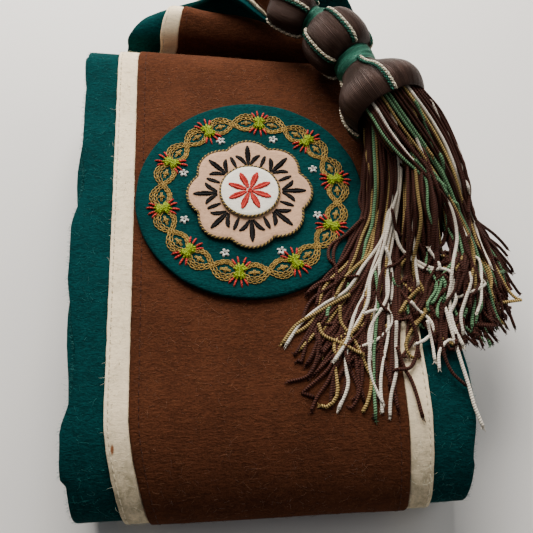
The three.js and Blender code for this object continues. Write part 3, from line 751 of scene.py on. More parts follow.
PRESSED_FELT = Effect("pressed_felt", felt_recipe, Colour=GREY, Fibre_Colour=WHITE, Cloud=0.3, Fibre=0.3)
CROSS_WEAVE = Effect("cross_weave", cross_weave_recipe, Spacing=0.0009, Wander=0.4)
# The groove value sets how much painted shade lies in the grooves
WOUND_YARN = Effect(
    "wound_yarn", wound_yarn_recipe, Colour=GREY, Pitch=0.0012, Turns=2.0, Groove=0.5, Variation=0.4
)
LAID_FLOSS = Effect(
    "laid_floss", laid_floss_recipe, Dark=GREY, Light=WHITE, Threads=230.0, Fine=92.0, Broad=13.8,
    Dull=0.5, Glossy=0.34,
)
LOOSE_WOOL = Effect("loose_wool", loose_wool_recipe, Dark=GREY, Light=WHITE)
# Soiling, specks and a stain, with painted shade on the rounded near end
MARKS_AND_NEAR_SHADE = Effect("handling_marks", marks_and_near_shade_recipe, Colour=WHITE, Amount=0.5)


def new_material(name, specular, roughness=0.9, sheen=0.0, sheen_tint=WHITE, shine=WHITE):
    """A material whose values that never change are set on the shader itself."""
    material = bpy.data.materials.new(name)
    material.use_nodes = True
    constants = {
        "Roughness": roughness, "Specular IOR Level": specular, "Specular Tint": shine,
        "Sheen Weight": sheen, "Sheen Roughness": 0.5, "Sheen Tint": sheen_tint,
    }
    for key, value in constants.items():
        material.node_tree.nodes["Principled BSDF"].inputs[key].default_value = value
    return material, material.node_tree


def dress(material, colour, roughness=None, height=None, distance=0.0002, strength=0.6):
    """Feeds a material's shader with what changes over the surface."""
    inputs = material.node_tree.nodes["Principled BSDF"].inputs
    feed(inputs["Base Color"], colour)
    if roughness:
        feed(inputs["Roughness"], roughness)
    if height:
        bump = put(material.node_tree, "ShaderNodeBump", Strength=strength, Distance=distance, Height=height)
        feed(inputs["Normal"], Wire(bump.outputs[0]))
    return material


def felt_material(name, colour, fibre, cloud, fibres, weave=0.0, marks_and_shade=0.0, sheen=0.05, relief=0.8):
    """Pressed wool felt, with a cross weave, and soiling with painted shade on the rounded near end, where it
    has them.
    """
    material, tree = new_material(name, specular=0.04, sheen=sheen, sheen_tint=srgb(fibre))
    if marks_and_shade:
        colour = MARKS_AND_NEAR_SHADE.place(tree, Colour=colour, Amount=marks_and_shade)["Colour"]
    felt = PRESSED_FELT.place(tree, Colour=colour, Fibre_Colour=srgb(fibre), Cloud=cloud, Fibre=fibres)
    height = felt["Height"]
    if weave:
        height = height + CROSS_WEAVE.place(tree, Spacing=0.0011, Wander=0.3)["Height"] * weave
    return dress(material, felt["Colour"], felt["Roughness"], height, 0.0007, relief)


def teal_felt(name, colour):
    return felt_material(name, colour, "12706c", cloud=0.5, fibres=0.22, sheen=0.03)


def own_shine(colour, share):
    """The colour of a dyed thread's gloss: white, drawn toward the thread's own hue."""
    peak = max(colour[:3])
    return tuple(1 - share + share * c / peak for c in colour[:3]) + (1,)


def yarn_material(
    name, colour, pitch=0.0009, turns=2.0, groove=0.55, variation=0.5, specular=0.3, sheen=0.08
):
    """Twisted yarn with a soft gloss of its own hue and painted shade in its grooves."""
    shine = own_shine(colour, 0.7)
    material, tree = new_material(name, specular=specular, sheen=sheen, sheen_tint=shine, shine=shine)
    yarn = WOUND_YARN.place(tree, Colour=colour, Pitch=pitch, Turns=turns, Groove=groove, Variation=variation)
    return dress(material, yarn["Colour"], yarn["Roughness"], yarn["Height"], 0.00022, 0.8)


def floss_material(name, colour, specular, threads, dull, glossy):
    """Laid floss with a gloss of its own hue, from dull threads to glossy ones."""
    material, tree = new_material(name, specular=specular, shine=own_shine(colour, 0.85))
    # Light threads at over twice the floss colour: partly painted sheen
    floss = LAID_FLOSS.place(
        tree, Dark=toned(colour, 0.3), Light=toned(colour, 2.2, 0.006), Threads=threads,
        Fine=threads * 0.4, Broad=threads * 0.06, Dull=dull, Glossy=glossy,
    )
    return dress(material, floss["Colour"], floss["Roughness"], floss["Height"], 0.00014, 1.0)


# Felt band, strips and panel

# The rounded edge of cut felt, from its top to its underside: inset and level, as shares
CUT_EDGE = ((0.3, 0.88), (0.0, 0.5), (0.3, 0.12))

# The underside of what is sewn on the band, and the lowest level of any felt over the table
LAID_LOW = BASE_FACE + 0.04
LOWEST_FELT = 0.02

# Where the rows of machine stitches run, on both sides of the band's middle
PANEL_STITCHES = 43.2
STRIP_STITCHES = 53.4

# Loose fibres of each felt: where it shows across the band, its level, the part of all and colour
FUZZ = (
    ("brown", [(-46, 46)], PANEL_FACE, 1, "7d5132"),
    ("teal", [(-68.4, -55.5), (55.5, 68.4)], BASE_FACE, 3, "12706a"),
    ("cream", [(-54.5, -46.8), (46.8, 54.5)], STRIP_FACE, 4, "f6ead0"),
)


def felt_ribbon(left, right, low, high, places, fray, seed):
    """A felt strip along the whole band, with rounded and slightly frayed cut edges."""

    def frayed(first):
        coarse, fine = (swell(first + k, BAND.length, 0, wave) for k, wave in enumerate((7, 2.3)))
        return coarse * fray + fine * fray * 0.6

    def rim_points(line, sign):
        return [
            BAND.surface((line + sign * rim * inset)[:, None], low + (high - low) * level)
            for inset, level in CUT_EDGE
        ]

    rim = 0.3 * (high - low)
    left, right = left + frayed(seed), right + frayed(seed + 2)
    across = np.linspace(0, 1, places)
    inner = (left + rim)[:, None] + (right - left - 2 * rim)[:, None] * across
    top = BAND.surface(inner, high + swell(seed + 5, inner, BAND.length[:, None], 9) * 0.05)
    bottom = BAND.surface(inner[:, ::-1], low)
    rows = np.concatenate([top, *rim_points(right, -1), bottom, *rim_points(left, 1)[::-1]], axis=1)
    rows[..., 2] = np.maximum(rows[..., 2], LOWEST_FELT)
    rims = [np.repeat(line[:, None], len(CUT_EDGE), 1) for line in (right, left)]
    girth = np.concatenate([inner, rims[0], inner[:, ::-1], rims[1], inner[:, :1]], axis=1)
    weave = Weave()
    weave.shell(rows, np.stack(np.broadcast_arrays(girth, BAND.length[:, None]), axis=-1) * MM, caps=False)
    close_ribbon_ends(weave, rows, places)
    return weave


def close_ribbon_ends(weave, rows, places):
    """Flat ends of a felt strip: narrow faces between its two sides, and one at each rim."""
    back = 2 * places + 2
    faces = [[k, k + 1, back - 1 - k, back - k] for k in range(places - 1)]
    faces += [list(range(places - 1, places + 4)), [*range(back, back + 4), 0]]
    last_ring = (len(rows) - 1) * rows.shape[1]
    for first, order in ((0, -1), (last_ring, 1)):
        for face in faces:
            weave.faces.append([first + corner for corner in face[::order]])
            weave.uvs.append(np.zeros((len(face), 2)))


def steady(value):
    return np.full(len(BAND.length), float(value))


class SASH_OT_base_band(bpy.types.Operator):
    """Teal felt band, folded into the packet with its two gathered ends"""

    bl_idname = "sash.base_band"
    bl_label = "Teal felt band"

    def execute(self, context):
        felt = context.scene.sash_felt
        half, depth = felt.band_width / MM / 2, felt.band_thickness / MM / 2
        left, right = -half - BAND.shift_left, half + BAND.shift_right
        ribbon = felt_ribbon(left, right, -depth, depth, places=42, fray=0.1, seed=3)
        ribbon.piece("teal_band", teal_felt("teal_felt", felt.band_colour), "teal_felt", ["base_band"])
        return {"FINISHED"}


class SASH_OT_cream_strips(bpy.types.Operator):
    """Cream felt strips beside the centre panel"""

    bl_idname = "sash.cream_strips"
    bl_label = "Cream strips"

    def execute(self, context):
        felt = context.scene.sash_felt
        # Cream strips: soiling, specks and a stain, with painted shade over the rounded near end
        material = felt_material(
            "cream_felt", felt.strip_colour, "ffffff", cloud=0.14, fibres=0.1, marks_and_shade=0.3, relief=0.3
        )
        inner = felt.panel_width / MM / 2 + 0.05
        outer = inner + felt.strip_width / MM + 0.25
        high = BASE_FACE + 0.05 + felt.strip_thickness / MM
        for side, left, right, seed in (("left", -outer, -inner, 20), ("right", inner, outer, 30)):
            ribbon = felt_ribbon(steady(left), steady(right), LAID_LOW, high, places=8, fray=0.16, seed=seed)
            ribbon.piece(f"cream_strip_{side}", material, "cream_felt", [f"white_strip_{side}"])
        return {"FINISHED"}


class SASH_OT_centre_panel(bpy.types.Operator):
    """Brown felt panel along the middle of the band"""

    bl_idname = "sash.centre_panel"
    bl_label = "Brown panel"

    def execute(self, context):
        felt = context.scene.sash_felt
        material = felt_material(
            "brown_felt", felt.panel_colour, "9a6440", cloud=0.45, fibres=0.4, weave=0.05, sheen=0.08
        )
        half = felt.panel_width / MM / 2
        high = BASE_FACE + 0.3 + felt.panel_thickness / MM
        ribbon = felt_ribbon(steady(-half), steady(half), LAID_LOW, high, places=30, fray=0.14, seed=50)
        ribbon.piece("brown_centre", material, "brown_felt", ["brown_panel"])
        return {"FINISHED"}


class SASH_OT_band_stitching(bpy.types.Operator):
    """Machine stitches along the panel and the strips"""

    bl_idname = "sash.band_stitching"
    bl_label = "Machine stitching"

    def execute(self, context):
        step = context.scene.sash_felt.stitch_length / MM
        brown = yarn_material("brown_thread", srgb("3f2216"), 0.0008)
        cream = yarn_material("cream_thread", srgb("f2e4c6"), 0.0008, groove=0.12)
        for name, place, height, material, slot in (
            ("panel_stitches", PANEL_STITCHES, PANEL_FACE, brown, "brown_felt"),
            ("strip_stitches", STRIP_STITCHES, STRIP_FACE - 0.2, cream, "cream_felt"),
        ):
            weave = Weave()
            self.stitch_row(weave, -place, height, step)
            self.stitch_row(weave, place, height, step)
            weave.piece(name, material, slot)
        return {"FINISHED"}

    def stitch_row(self, weave, place, height, step):
        """Stitches along one line of the band, apart from its hidden folds and where it lies on the table."""
        line = BAND.surface(steady(place)[:, None], height)[:, 0]
        up = BAND.normal_at(steady(place)[:, None])[:, 0]
        starts = np.arange(1, BAND.length[-1] - step, step)
        nearest = np.clip(np.searchsorted(BAND.length, starts), 0, len(line) - 1)
        for k, start in zip(nearest, starts):
            if BAND.first_loop + 10 <= k < BAND.top_start - 40:
                continue
            first, last = at_lengths(line, BAND.length, [start, start + step * 0.8])
            if min(first[2], last[2]) > 0.4:
                weave.stitch(first, last, 0.17, up[k], sides=4, lift=0.12)


class SASH_OT_felt_fuzz(bpy.types.Operator):
    """Fine loose wool fibres that stand off the faces and the cut edges of the felt"""

    bl_idname = "sash.felt_fuzz"
    bl_label = "Felt fuzz"

    def execute(self, context):
        count = context.scene.sash_felt.fuzz_count
        first = BAND.top_start - 24
        self.rows = slice(first, min(first + 130, BAND.last_loop))
        self.rng = random.Random(23)
        for felt, spans, height, part, colour in FUZZ:
            weave = Weave()
            for low, high in spans:
                self.scatter(weave, low, high, height, count // part // len(spans))
            if felt == "teal":
                self.edges(weave, count // 4)
            material, tree = new_material(f"{felt}_fuzz_wool", specular=0.1, sheen=0.2)
            tone = srgb(colour)
            wool = LOOSE_WOOL.place(tree, Dark=toned(tone, 0.5), Light=toned(tone, 1.2, 0.01))
            dress(material, wool["Colour"])
            weave.piece(f"{felt}_fuzz", material, f"{felt}_felt")
        return {"FINISHED"}

    def scatter(self, weave, low, high, height, count):
        """Fibres that lie anywhere on one face between two lines of the band."""
        places = np.linspace(low, high, 48)
        face = BAND.surface(places[None], height)[self.rows]
        for _ in range(count):
            row, column = self.rng.uniform(1, len(face) - 2), self.rng.uniform(0, len(places) - 1.01)
            self.fibre(weave, face, row, column, 0.6)

    def edges(self, weave, count):
        """Fibres that stick out of the long cut edges."""
        for sign, edge in ((-1, -EDGE - BAND.shift_left), (1, EDGE + BAND.shift_right)):
            for level in (-0.5, 0.5):
                face = BAND.surface(np.stack([edge - sign * 0.6, edge], axis=1), level)[self.rows]
                for _ in range(count // 2):
                    row = self.rng.uniform(1, len(face) - 2)
                    k = int(row)
                    root = face[k, 1] + (face[k + 1, 1] - face[k, 1]) * (row - k)
                    out, ahead = unit(face[k, 1] - face[k, 0]), unit(face[k + 1, 1] - face[k, 1])
                    length = self.rng.uniform(0.7, 1.6)
                    self.strand(weave, root - out * 0.3, out, ahead, np.cross(out, ahead), length, 0.5)

    def fibre(self, weave, face, row, column, lift):
        """One fibre with its root at a place on a face, most often lying across the band."""
        k, j = int(row), int(column)
        down, right = face[k + 1, j] - face[k, j], face[k, j + 1] - face[k, j]
        root = face[k, j] + down * (row - k) + right * (column - j)
        across, ahead = unit(right), unit(down)
        up = unit(np.cross(ahead, across))
        if np.dot(up, BAND.normals[self.rows][k, 1]) < 0:
            up = -up
        turn = self.rng.gauss(0, 0.7) + (math.pi if self.rng.random() < 0.5 else 0)
        way = across * math.cos(turn) + ahead * math.sin(turn)
        length = self.rng.uniform(1.0, 3.2) if self.rng.random() < 0.985 else self.rng.uniform(4, 8)
        self.strand(weave, root - up * 0.15, way, np.cross(up, way), up, length, lift)

    def strand(self, weave, root, way, side, up, length, lift):
        """One bent fibre, left out where it would lie on the table."""
        bend = self.rng.uniform(-0.7, 0.7) * length
        rise = self.rng.uniform(0.2, 1) * lift
        share = np.linspace(0, 1, 4)[:, None]
        lift_along = rise * np.sin(share * math.pi * 0.8)
        path = root + way * share * length + side * bend * share**2 + up * lift_along
        thick = self.rng.uniform(0.025, 0.045) if self.rng.random() < 0.96 else 0.06
        if path[:, 2].min() > 0.15:
            weave.tube(path, np.linspace(thick, thick * 0.5, 4), up, 3, self.rng.random())


# Badge

TOP_LEFT, TOP_RIGHT = (leg_heights(side)[3][1] + PANEL_FACE for side in ("left", "right"))
TOP_UP = unit([TOP_LEFT - TOP_RIGHT, 0, 2 * EDGE])
BADGE_CENTRE = (-2.3, 22)
BADGE_REACH = 43.5
WREATH_REACH = 33.4
SCALLOP = 2.6

# Heights over the brown felt: the underside of the patch, the tops of the three felts, and the
# gap under the upper two
BADGE_LOW = 0.25
GROUND_TOP = 2.3
MEDALLION_TOP = 3.7
DISC_TOP = 4.9
LAYER_GAP = 0.12


def top_height(x):
    """Height of the top run's brown face at a place across the band."""
    share = np.clip((np.asarray(x, float) + EDGE) / (2 * EDGE), 0, 1)
    return TOP_LEFT + (TOP_RIGHT - TOP_LEFT) * share


def on_badge(radius, angle, height):
    """A point on the badge: radius in millimetres, angle in radians, height over the brown felt."""
    x = BADGE_CENTRE[0] + radius * np.cos(angle)
    y = BADGE_CENTRE[1] + radius * np.sin(angle)
    z = top_height(x) + swell(71, x, y, 38) * SLACK + height
    return np.stack(np.broadcast_arrays(x, y, z), axis=-1)


def cut_line(angle, radius, scallop):
    """The outline of a round felt, or of one with eight scallops."""
    return radius - scallop * (1 - np.abs(np.cos(4 * angle)))


def felt_disc(radius, scallop, low, high, rings, around, fray, seed):
    """A cut piece of felt on the badge, with a rounded edge."""
    turn = np.linspace(0, 2 * math.pi, around + 1)
    angle = turn[:-1]
    outline = cut_line(angle, radius, scallop) + swell(seed, angle * 30, 0, 9) * fray
    rim = 0.32 * (high - low)
    shares = np.linspace(0.04, 1, rings)
    reach = [(outline - rim) * share for share in shares]
    heights = [high + swell(seed + 1, line * np.cos(angle), line * np.sin(angle), 8) * 0.05 for line in reach]
    for inset, level in CUT_EDGE:
        reach.append(outline - rim * inset)
        heights.append(low + (high - low) * level)
    for share in shares[::-1][::3]:
        reach.append((outline - rim) * share)
        heights.append(low)
    rows = [on_badge(line, angle, height) for line, height in zip(reach, heights)]
    reach = np.array(reach)
    closed = np.concatenate([reach, reach[:, :1]], axis=1) * MM
    weave = Weave()
    weave.shell(np.array(rows), np.stack([closed * np.cos(turn), closed * np.sin(turn)], axis=-1))
    return weave


class SASH_OT_badge_felts(bpy.types.Operator):
    """The badge's round patch, beige rosette and cream disc"""

    bl_idname = "sash.badge_felts"
    bl_label = "Badge felts"

    def execute(self, context):
        badge = context.scene.sash_badge
        ground = teal_felt("badge_teal", badge.ground_colour)
        beige = felt_material(
            "beige_felt", badge.medallion_colour, "e8cdb4", cloud=0.18, fibres=0.14, relief=0.3
        )
        cream = felt_material("disc_felt", badge.disc_colour, "ffffff", cloud=0.12, fibres=0.1, relief=0.3)
        radii = [radius / MM for radius in (badge.radius, badge.medallion_radius, badge.disc_radius)]
        rosette_low, disc_low = GROUND_TOP + LAYER_GAP, MEDALLION_TOP + LAYER_GAP
        patch = felt_disc(radii[0], 0, BADGE_LOW, GROUND_TOP, rings=22, around=160, fray=0.2, seed=1)
        patch.piece("badge_patch", ground, "badge_teal_felt", ["badge_ground"])
        rosette = felt_disc(
            radii[1], SCALLOP, rosette_low, MEDALLION_TOP, rings=14, around=160, fray=0.1, seed=5
        )
        rosette.piece("badge_rosette", beige, "beige_felt", ["badge_medallion"])
        centre = felt_disc(radii[2], 0, disc_low, DISC_TOP, rings=8, around=96, fray=0.1, seed=9)
        centre.piece("badge_centre", cream, "cream_felt", ["badge_disc"])
        return {"FINISHED"}


class BadgeNeedle:
    """Puts threads on the badge by places in its own plane, in millimetres from its middle."""

    # Satin stitches: distance apart, thread radius and rise; chain stitches: length, width and thread radius
    satin = {"spacing": 0.4, "radius": 0.26, "lift": 0.22}
    link = {"length": 1.9, "width": 1.05, "radius": 0.24}

    def __init__(self, height):
        self.weave = Weave()
        self.height = height
        self.rng = random.Random(17)

    def point(self, x, y, lift=0.0):
        return on_badge(math.hypot(x, y), math.atan2(y, x), self.height + lift)

    def stitch(self, start, end, radius, lift=0.3):
        tint = self.rng.uniform(0.2, 0.8)
        self.weave.stitch(self.point(*start), self.point(*end), radius, TOP_UP, 5, lift, tint)

    def satin_leaf(self, root, tip, width, slant=0.9, bend=0.0):
        """A leaf of slanting stitches on both sides of its middle line."""
        length = np.linalg.norm(tip - root)
        ahead = (tip - root) / length
        beside = np.array([-ahead[1], ahead[0]])
        count = max(int(length / self.satin["spacing"]), 3)
        for side in (1, -1):
            for k in range(count):
                share = (k + 0.5) / count
                spread = width / 2 * math.sin(math.pi * min(share * 0.92 + 0.06, 1)) ** 0.75
                curve = beside * bend * math.sin(math.pi * share)
                inner = root + ahead * length * share + curve
                spread *= 1 + self.rng.uniform(-0.12, 0.14)
                outer = inner + beside * side * spread + ahead * slant * spread
                self.stitch(inner - beside * side * 0.15, outer, self.satin["radius"], self.satin["lift"])

    def chain(self, path):
        """Chain stitch along a path of places."""
        along = travelled(path)
        count = max(int(along[-1] / self.link["length"]), 1)
        turn = np.linspace(0, 2 * math.pi, 11)
        for k in range(count):
            start, end = at_lengths(path, along, np.array([k - 0.12, k + 1.0]) * along[-1] / count)
            ahead = unit(end - start)
            beside = np.array([-ahead[1], ahead[0]])
            middle, half = (start + end) / 2, np.linalg.norm(end - start) / 2
            out = self.link["width"] / 2
            places = [middle - ahead * half * math.cos(t) + beside * out * math.sin(t) for t in turn]
            loop = [self.point(*place, 0.2 - 0.1 * math.cos(t)) for place, t in zip(places, turn)]
            self.weave.tube(loop, self.link["radius"], TOP_UP, 4, self.rng.uniform(0.1, 0.9))


class SASH_OT_badge_embroidery(bpy.types.Operator):
    """Leaf sprays, star, gold wreath and blossoms worked on the badge"""

    bl_idname = "sash.badge_embroidery"
    bl_label = "Badge embroidery"

    def execute(self, context):
        badge = context.scene.sash_badge
        self.leaf_sprays()
        self.star(badge)
        self.wreath(badge)
        self.blossoms(badge)
        self.edge_cords(badge)
        self.white_flowers()
        return {"FINISHED"}

    def leaf_sprays(self):
        """Eight sprays of three leaves, with a small leaf between each two."""
        needle = BadgeNeedle(MEDALLION_TOP)
        for (_, ahead, beside), (_, outward, _) in zip(spokes(8), spokes(8, math.pi / 8)):
            root = ahead * 12.2
            needle.satin_leaf(root, ahead * 21.2, 2.1)
            for side in (1, -1):
                tip = ahead * 16.6 + beside * side * 4.6
                needle.satin_leaf(root + beside * side * 0.6, tip, 1.7, bend=-0.5 * side)
            needle.satin_leaf(outward * 12.0, outward * 17.4, 1.5)
        material = yarn_material("black_thread", srgb("0b0a0a"), groove=0.4, specular=0.12, sheen=0)
        needle.weave.piece("black_leaf_sprays", material, "dark_floss")

    def star(self, badge):
        """An eight-pointed star with short stitches over its middle."""
        needle = BadgeNeedle(DISC_TOP)
        for _, ahead, _ in spokes(8, math.pi / 8):
            needle.satin_leaf(ahead * 1.2, ahead * 8.4, 2.5, slant=0.5)
        for _ in range(14):
            x, y = needle.rng.uniform(-0.9, 0.9), needle.rng.uniform(-0.9, 0.9)
            needle.stitch((x - 0.4, y), (x + 0.4, y), 0.28)
        material = yarn_material("red_thread", badge.berry_colour, groove=0.35)
        needle.weave.piece("red_star", material, "beige_felt")

    def wreath(self, badge):
        """Two gold lines that cross twenty times, with a small cross in each eye."""
        needle = BadgeNeedle(GROUND_TOP)
        turn = np.linspace(0, 2 * math.pi, 361)
        for phase in (0, math.pi):
            for layer in (-0.55, 0.55):
                reach = WREATH_REACH + (3.3 + layer * 0.5) * np.cos(10 * turn + phase) + layer
                needle.chain(np.column_stack([reach * np.cos(turn), reach * np.sin(turn)]))
        for _, outward, beside in spokes(20):
            centre = outward * WREATH_REACH
            for shift in (-0.25, 0.25):
                for way, half, middle, lift in (
                    (beside, 2.3, centre + outward * shift, 0.3),
                    (outward, 1.4, centre + beside * shift, 0.5),
                ):
                    needle.stitch(middle - way * half, middle + way * half, 0.26, lift)
        material = yarn_material("gold_thread", badge.gold_colour, 0.0007, variation=0.8, specular=0.5)
        needle.weave.piece("gold_wreath", material, "beige_felt")

    def blossoms(self, badge):
        """Ten green blossoms across the wreath, each with a fan of red tips at both ends."""
        leaves, tips = BadgeNeedle(GROUND_TOP + 0.25), BadgeNeedle(GROUND_TOP + 0.15)
        for _, outward, beside in spokes(10, math.pi / 20):
            centre = outward * WREATH_REACH
            for sign in (1, -1):
                for spread in (-1.0, -0.62, -0.25, 0.25, 0.62, 1.0):
                    way = outward * sign * math.cos(spread) + beside * math.sin(spread)
                    reach = leaves.rng.uniform(3.4, 4.2) * (1 - 0.22 * abs(spread))
                    leaves.stitch(centre - way * 0.4, centre + way * reach, 0.46, 0.5)
                    if abs(spread) < 0.9:
                        tips.stitch(centre + way * (reach - 0.7), centre + way * (reach + 2.6), 0.36, 0.35)
            for j in range(9):
                middle = centre + outward * (j - 4) * 0.5 + beside * leaves.rng.uniform(-0.3, 0.3)
                leaves.stitch(middle - beside * 1.7, middle + beside * 1.7, 0.36, 0.75)
        green = yarn_material("leaf_thread", badge.leaf_colour, groove=0.35)
        red = yarn_material("berry_thread", badge.berry_colour, groove=0.3)
        leaves.weave.piece("blossom_leaves", green, "badge_teal_felt")
        tips.weave.piece("blossom_tips", red, "badge_teal_felt")

    def edge_cords(self, badge):
        """A dark and gold cord round the rosette and round the disc."""
        weave = Weave()
        turn = np.linspace(0, 2 * math.pi, 241)
        rosette, disc = badge.medallion_radius / MM, badge.disc_radius / MM
        edge = on_badge(cut_line(turn, rosette, SCALLOP) + 0.1, turn, MEDALLION_TOP - 0.25)
        centre = on_badge(disc + 0.1, turn, DISC_TOP - 0.35)
        for path in (edge, centre):
            twisted_cord(weave, path, TOP_UP, 0.55, 1.5, (0.95, 0.1))
        material, tree = new_material("couched_cord", specular=0.5)
        pair = blend(ramp(own_tint(tree), 0.4, 0.6), srgb("3a2a1c"), srgb("b39348"))
        yarn = WOUND_YARN.place(tree, Colour=pair, Pitch=0.0005, Turns=1.0, Groove=0.3, Variation=0.0)
        dress(material, yarn["Colour"], yarn["Roughness"], yarn["Height"])
        weave.piece("couched_edges", material, "beige_felt")

    def white_flowers(self):
        """Eight small flowers of five petals inside the wreath."""
        needle = BadgeNeedle(GROUND_TOP)
        for angle, outward, _ in spokes(8, math.pi / 8):
            for _, ahead, beside in spokes(5, angle):
                for shift in (-0.18, 0.18):
                    middle = outward * 27 + beside * shift
                    needle.stitch(middle + ahead * 0.35, middle + ahead * 1.75, 0.3, 0.35)
        material = yarn_material("white_thread", srgb("ece7dd"), groove=0.25)
        needle.weave.piece("white_flowers", material, "cream_felt")


# Tassel

KNOB_TOP_CENTRE = np.array([19.7, 103.1, 53])
KNOB_MIDDLE_CENTRE = np.array([36.4, 84.5, 53.2])
BELL_RIM_CENTRE = np.array([52.4, 43.7, 57])
KNOB_TOP = {"radius": 9.6, "half": 8.7, "neck": 5}
KNOB_MIDDLE = {"radius": 13.6, "half": 10.5, "neck": 6}
BELL_LENGTH = 26.3
UPPER_AXIS = unit([0.8, -0.6, 0])
MIDDLE_AXIS = unit([0.48, -0.877, 0.03])
LOWER_AXIS = unit(BELL_RIM_CENTRE - KNOB_MIDDLE_CENTRE)
BELL_START = BELL_RIM_CENTRE - LOWER_AXIS * BELL_LENGTH

# The bell from its neck over its rim and back inside: place along it, radius and depth of the seams
BELL_RINGS = np.array([
    (0, 7.2, 0), (3, 8.4, 0.06), (6.5, 11, 0.15), (10.5, 14.6, 0.2), (15, 17.3, 0.23), (19.5, 18.2, 0.24),
    (23.5, 17.2, 0.22), (26.3, 15, 0.12), (25, 13.6, 0), (20.5, 13, 0),
])

# Where the seams between the lobes are, in degrees round the axis
SEAMS = {
    "knob_top": (34, 107, 211, 300),
    "knob_middle": (14, 86, 158, 228, 300),
    "bell": (8, 92, 198, 288),
}

# The neck wraps: where each starts and ends inside the bodies, with its direction there, and its radius
NECK_WRAPS = {
    "upper": (
        KNOB_TOP_CENTRE + UPPER_AXIS * (KNOB_TOP["half"] - 1.2), UPPER_AXIS,
        KNOB_MIDDLE_CENTRE - MIDDLE_AXIS * (KNOB_MIDDLE["half"] - 1.2), MIDDLE_AXIS, 5.9,
    ),
    "lower": (
        KNOB_MIDDLE_CENTRE + MIDDLE_AXIS * (KNOB_MIDDLE["half"] - 1.4), MIDDLE_AXIS,
        BELL_START + LOWER_AXIS * 1.2, LOWER_AXIS, 7.7,
    ),
}


class AxisFrame:
    """A round body's own frame: along its axis, to its right and towards its top."""

    def __init__(self, origin, axis):
        self.origin, self.axis = origin, unit(axis)
        self.right = unit(np.cross((0, 0, 1), self.axis))
        self.top = np.cross(self.axis, self.right)

    def outward(self, angle):
        return self.right * np.cos(angle)[..., None] + self.top * np.sin(angle)[..., None]

    def point(self, radius, angle, along):
        radius, along = (value[..., None] for value in np.broadcast_arrays(radius, along))
        return self.origin + self.outward(angle) * radius + self.axis * along


def knob_rings(knob):
    """Rings of a knob from neck to neck: place along it, radius and depth of the seams."""
    turn = np.linspace(-math.pi / 2, math.pi / 2, 45)
    reach = knob["neck"] + (knob["radius"] - knob["neck"]) * np.abs(np.cos(turn)) ** 0.65
    return np.column_stack([knob["half"] * np.sin(turn), reach, 0.2 * np.cos(turn)])


def tassel_parts():
    """The frame and rings of the knobs and the bell, with the rings that the seam cords follow."""
    top, middle, bell = knob_rings(KNOB_TOP), knob_rings(KNOB_MIDDLE), through_points(BELL_RINGS, 6)
    return {
        "knob_top": (AxisFrame(KNOB_TOP_CENTRE, UPPER_AXIS), top, top[3:-3]),
        "knob_middle": (AxisFrame(KNOB_MIDDLE_CENTRE, MIDDLE_AXIS), middle, middle[3:-3]),
        "bell": (AxisFrame(BELL_START, LOWER_AXIS), bell, bell[:46]),
    }


def lobe_share(angle, seams):
    """0 on a seam and 1 at the middle of a lobe."""
    marks = np.radians([*seams, seams[0] + 360])
    wrapped = (angle - marks[0]) % (2 * math.pi) + marks[0]
    place = np.clip(np.searchsorted(marks, wrapped, side="right") - 1, 0, len(seams) - 1)
    share = (wrapped - marks[place]) / (marks[place + 1] - marks[place])
    return np.sin(math.pi * np.clip(share, 0, 1)) ** 0.7


class SASH_OT_tassel_bodies(bpy.types.Operator):
    """Two lobed knobs and the flared bell, wound with dark floss"""

    bl_idname = "sash.tassel_bodies"
    bl_label = "Tassel knobs and bell"

    def execute(self, context):
        colour = context.scene.sash_tassel.floss_colour
        material = floss_material("dark_floss", colour, specular=0.2, threads=230, dull=0.5, glossy=0.36)
        for k, (node, (body, rings, _)) in enumerate(tassel_parts().items()):
            weave = self.lobed_body(body, rings, SEAMS[node], 30 + 3 * k)
            weave.piece(f"floss_{node}", material, "dark_floss", [node])
        return {"FINISHED"}

    def lobed_body(self, body, rings, seams, seed):
        """A round body that swells between its seams, a little uneven like wound floss."""
        turn = np.linspace(0, 2 * math.pi, 241)
        angle = turn[None, :-1]
        along, reach, groove = (column[:, None] for column in rings.T)
        radius = reach * (1 - groove * (1 - lobe_share(angle, seams)))
        strands = swell(seed, angle * 40, 0, 5.5, 7) * 0.11 + swell(seed + 1, angle * 14, along, 13) * 0.12
        radius = radius + strands * np.clip(reach / 12, 0.3, 1)
        length = travelled(rings[:, :2])[:, None] * MM
        weave = Weave()
        uv = np.stack(np.broadcast_arrays(turn[None] / (2 * math.pi), length), axis=-1)
        weave.shell(body.point(radius, angle, along), uv)
        return weave


class SASH_OT_seam_cords(bpy.types.Operator):
    """Pairs of twisted cords, one green and one cream, along the seams of the tassel"""

    bl_idname = "sash.seam_cords"
    bl_label = "Seam cords"

    def execute(self, context):
        radius = context.scene.sash_tassel.cord_radius / MM
        green, cream = Weave(), Weave()
        nodes = []
        for node, (body, _, rings) in tassel_parts().items():
            for k, seam in enumerate(SEAMS[node]):
                nodes.append(f"cord_{node}_{k + 1}")
                self.seam_pair(green, cream, body, rings, math.radians(seam), radius, k)
        green_yarn = yarn_material("green_cord", srgb("17503f"), groove=0.7, variation=1.2, specular=0.35)
        cream_yarn = yarn_material("cream_cord", srgb("f6e9cd"), groove=0.5, variation=0.75)
        green.piece("green_seam_cords", green_yarn, "twisted_cord", nodes)
        cream.piece("cream_seam_cords", cream_yarn, "twisted_cord")
        return {"FINISHED"}

    def seam_pair(self, green, cream, body, rings, angle, radius, k):
        """The green and the cream cord of one seam, side by side."""
        reach = rings[:, 1] * (1 - rings[:, 2] * 0.6) + radius * 0.9
        for weave, side in ((green, 1), (cream, -1)):
            turn = angle + side * radius * 1.08 / reach
            path = body.point(reach, turn, rings[:, 0])
            twisted_cord(weave, path, body.outward(turn), radius, 2.5, (0.0, 1.0), k + side, 8, 6)


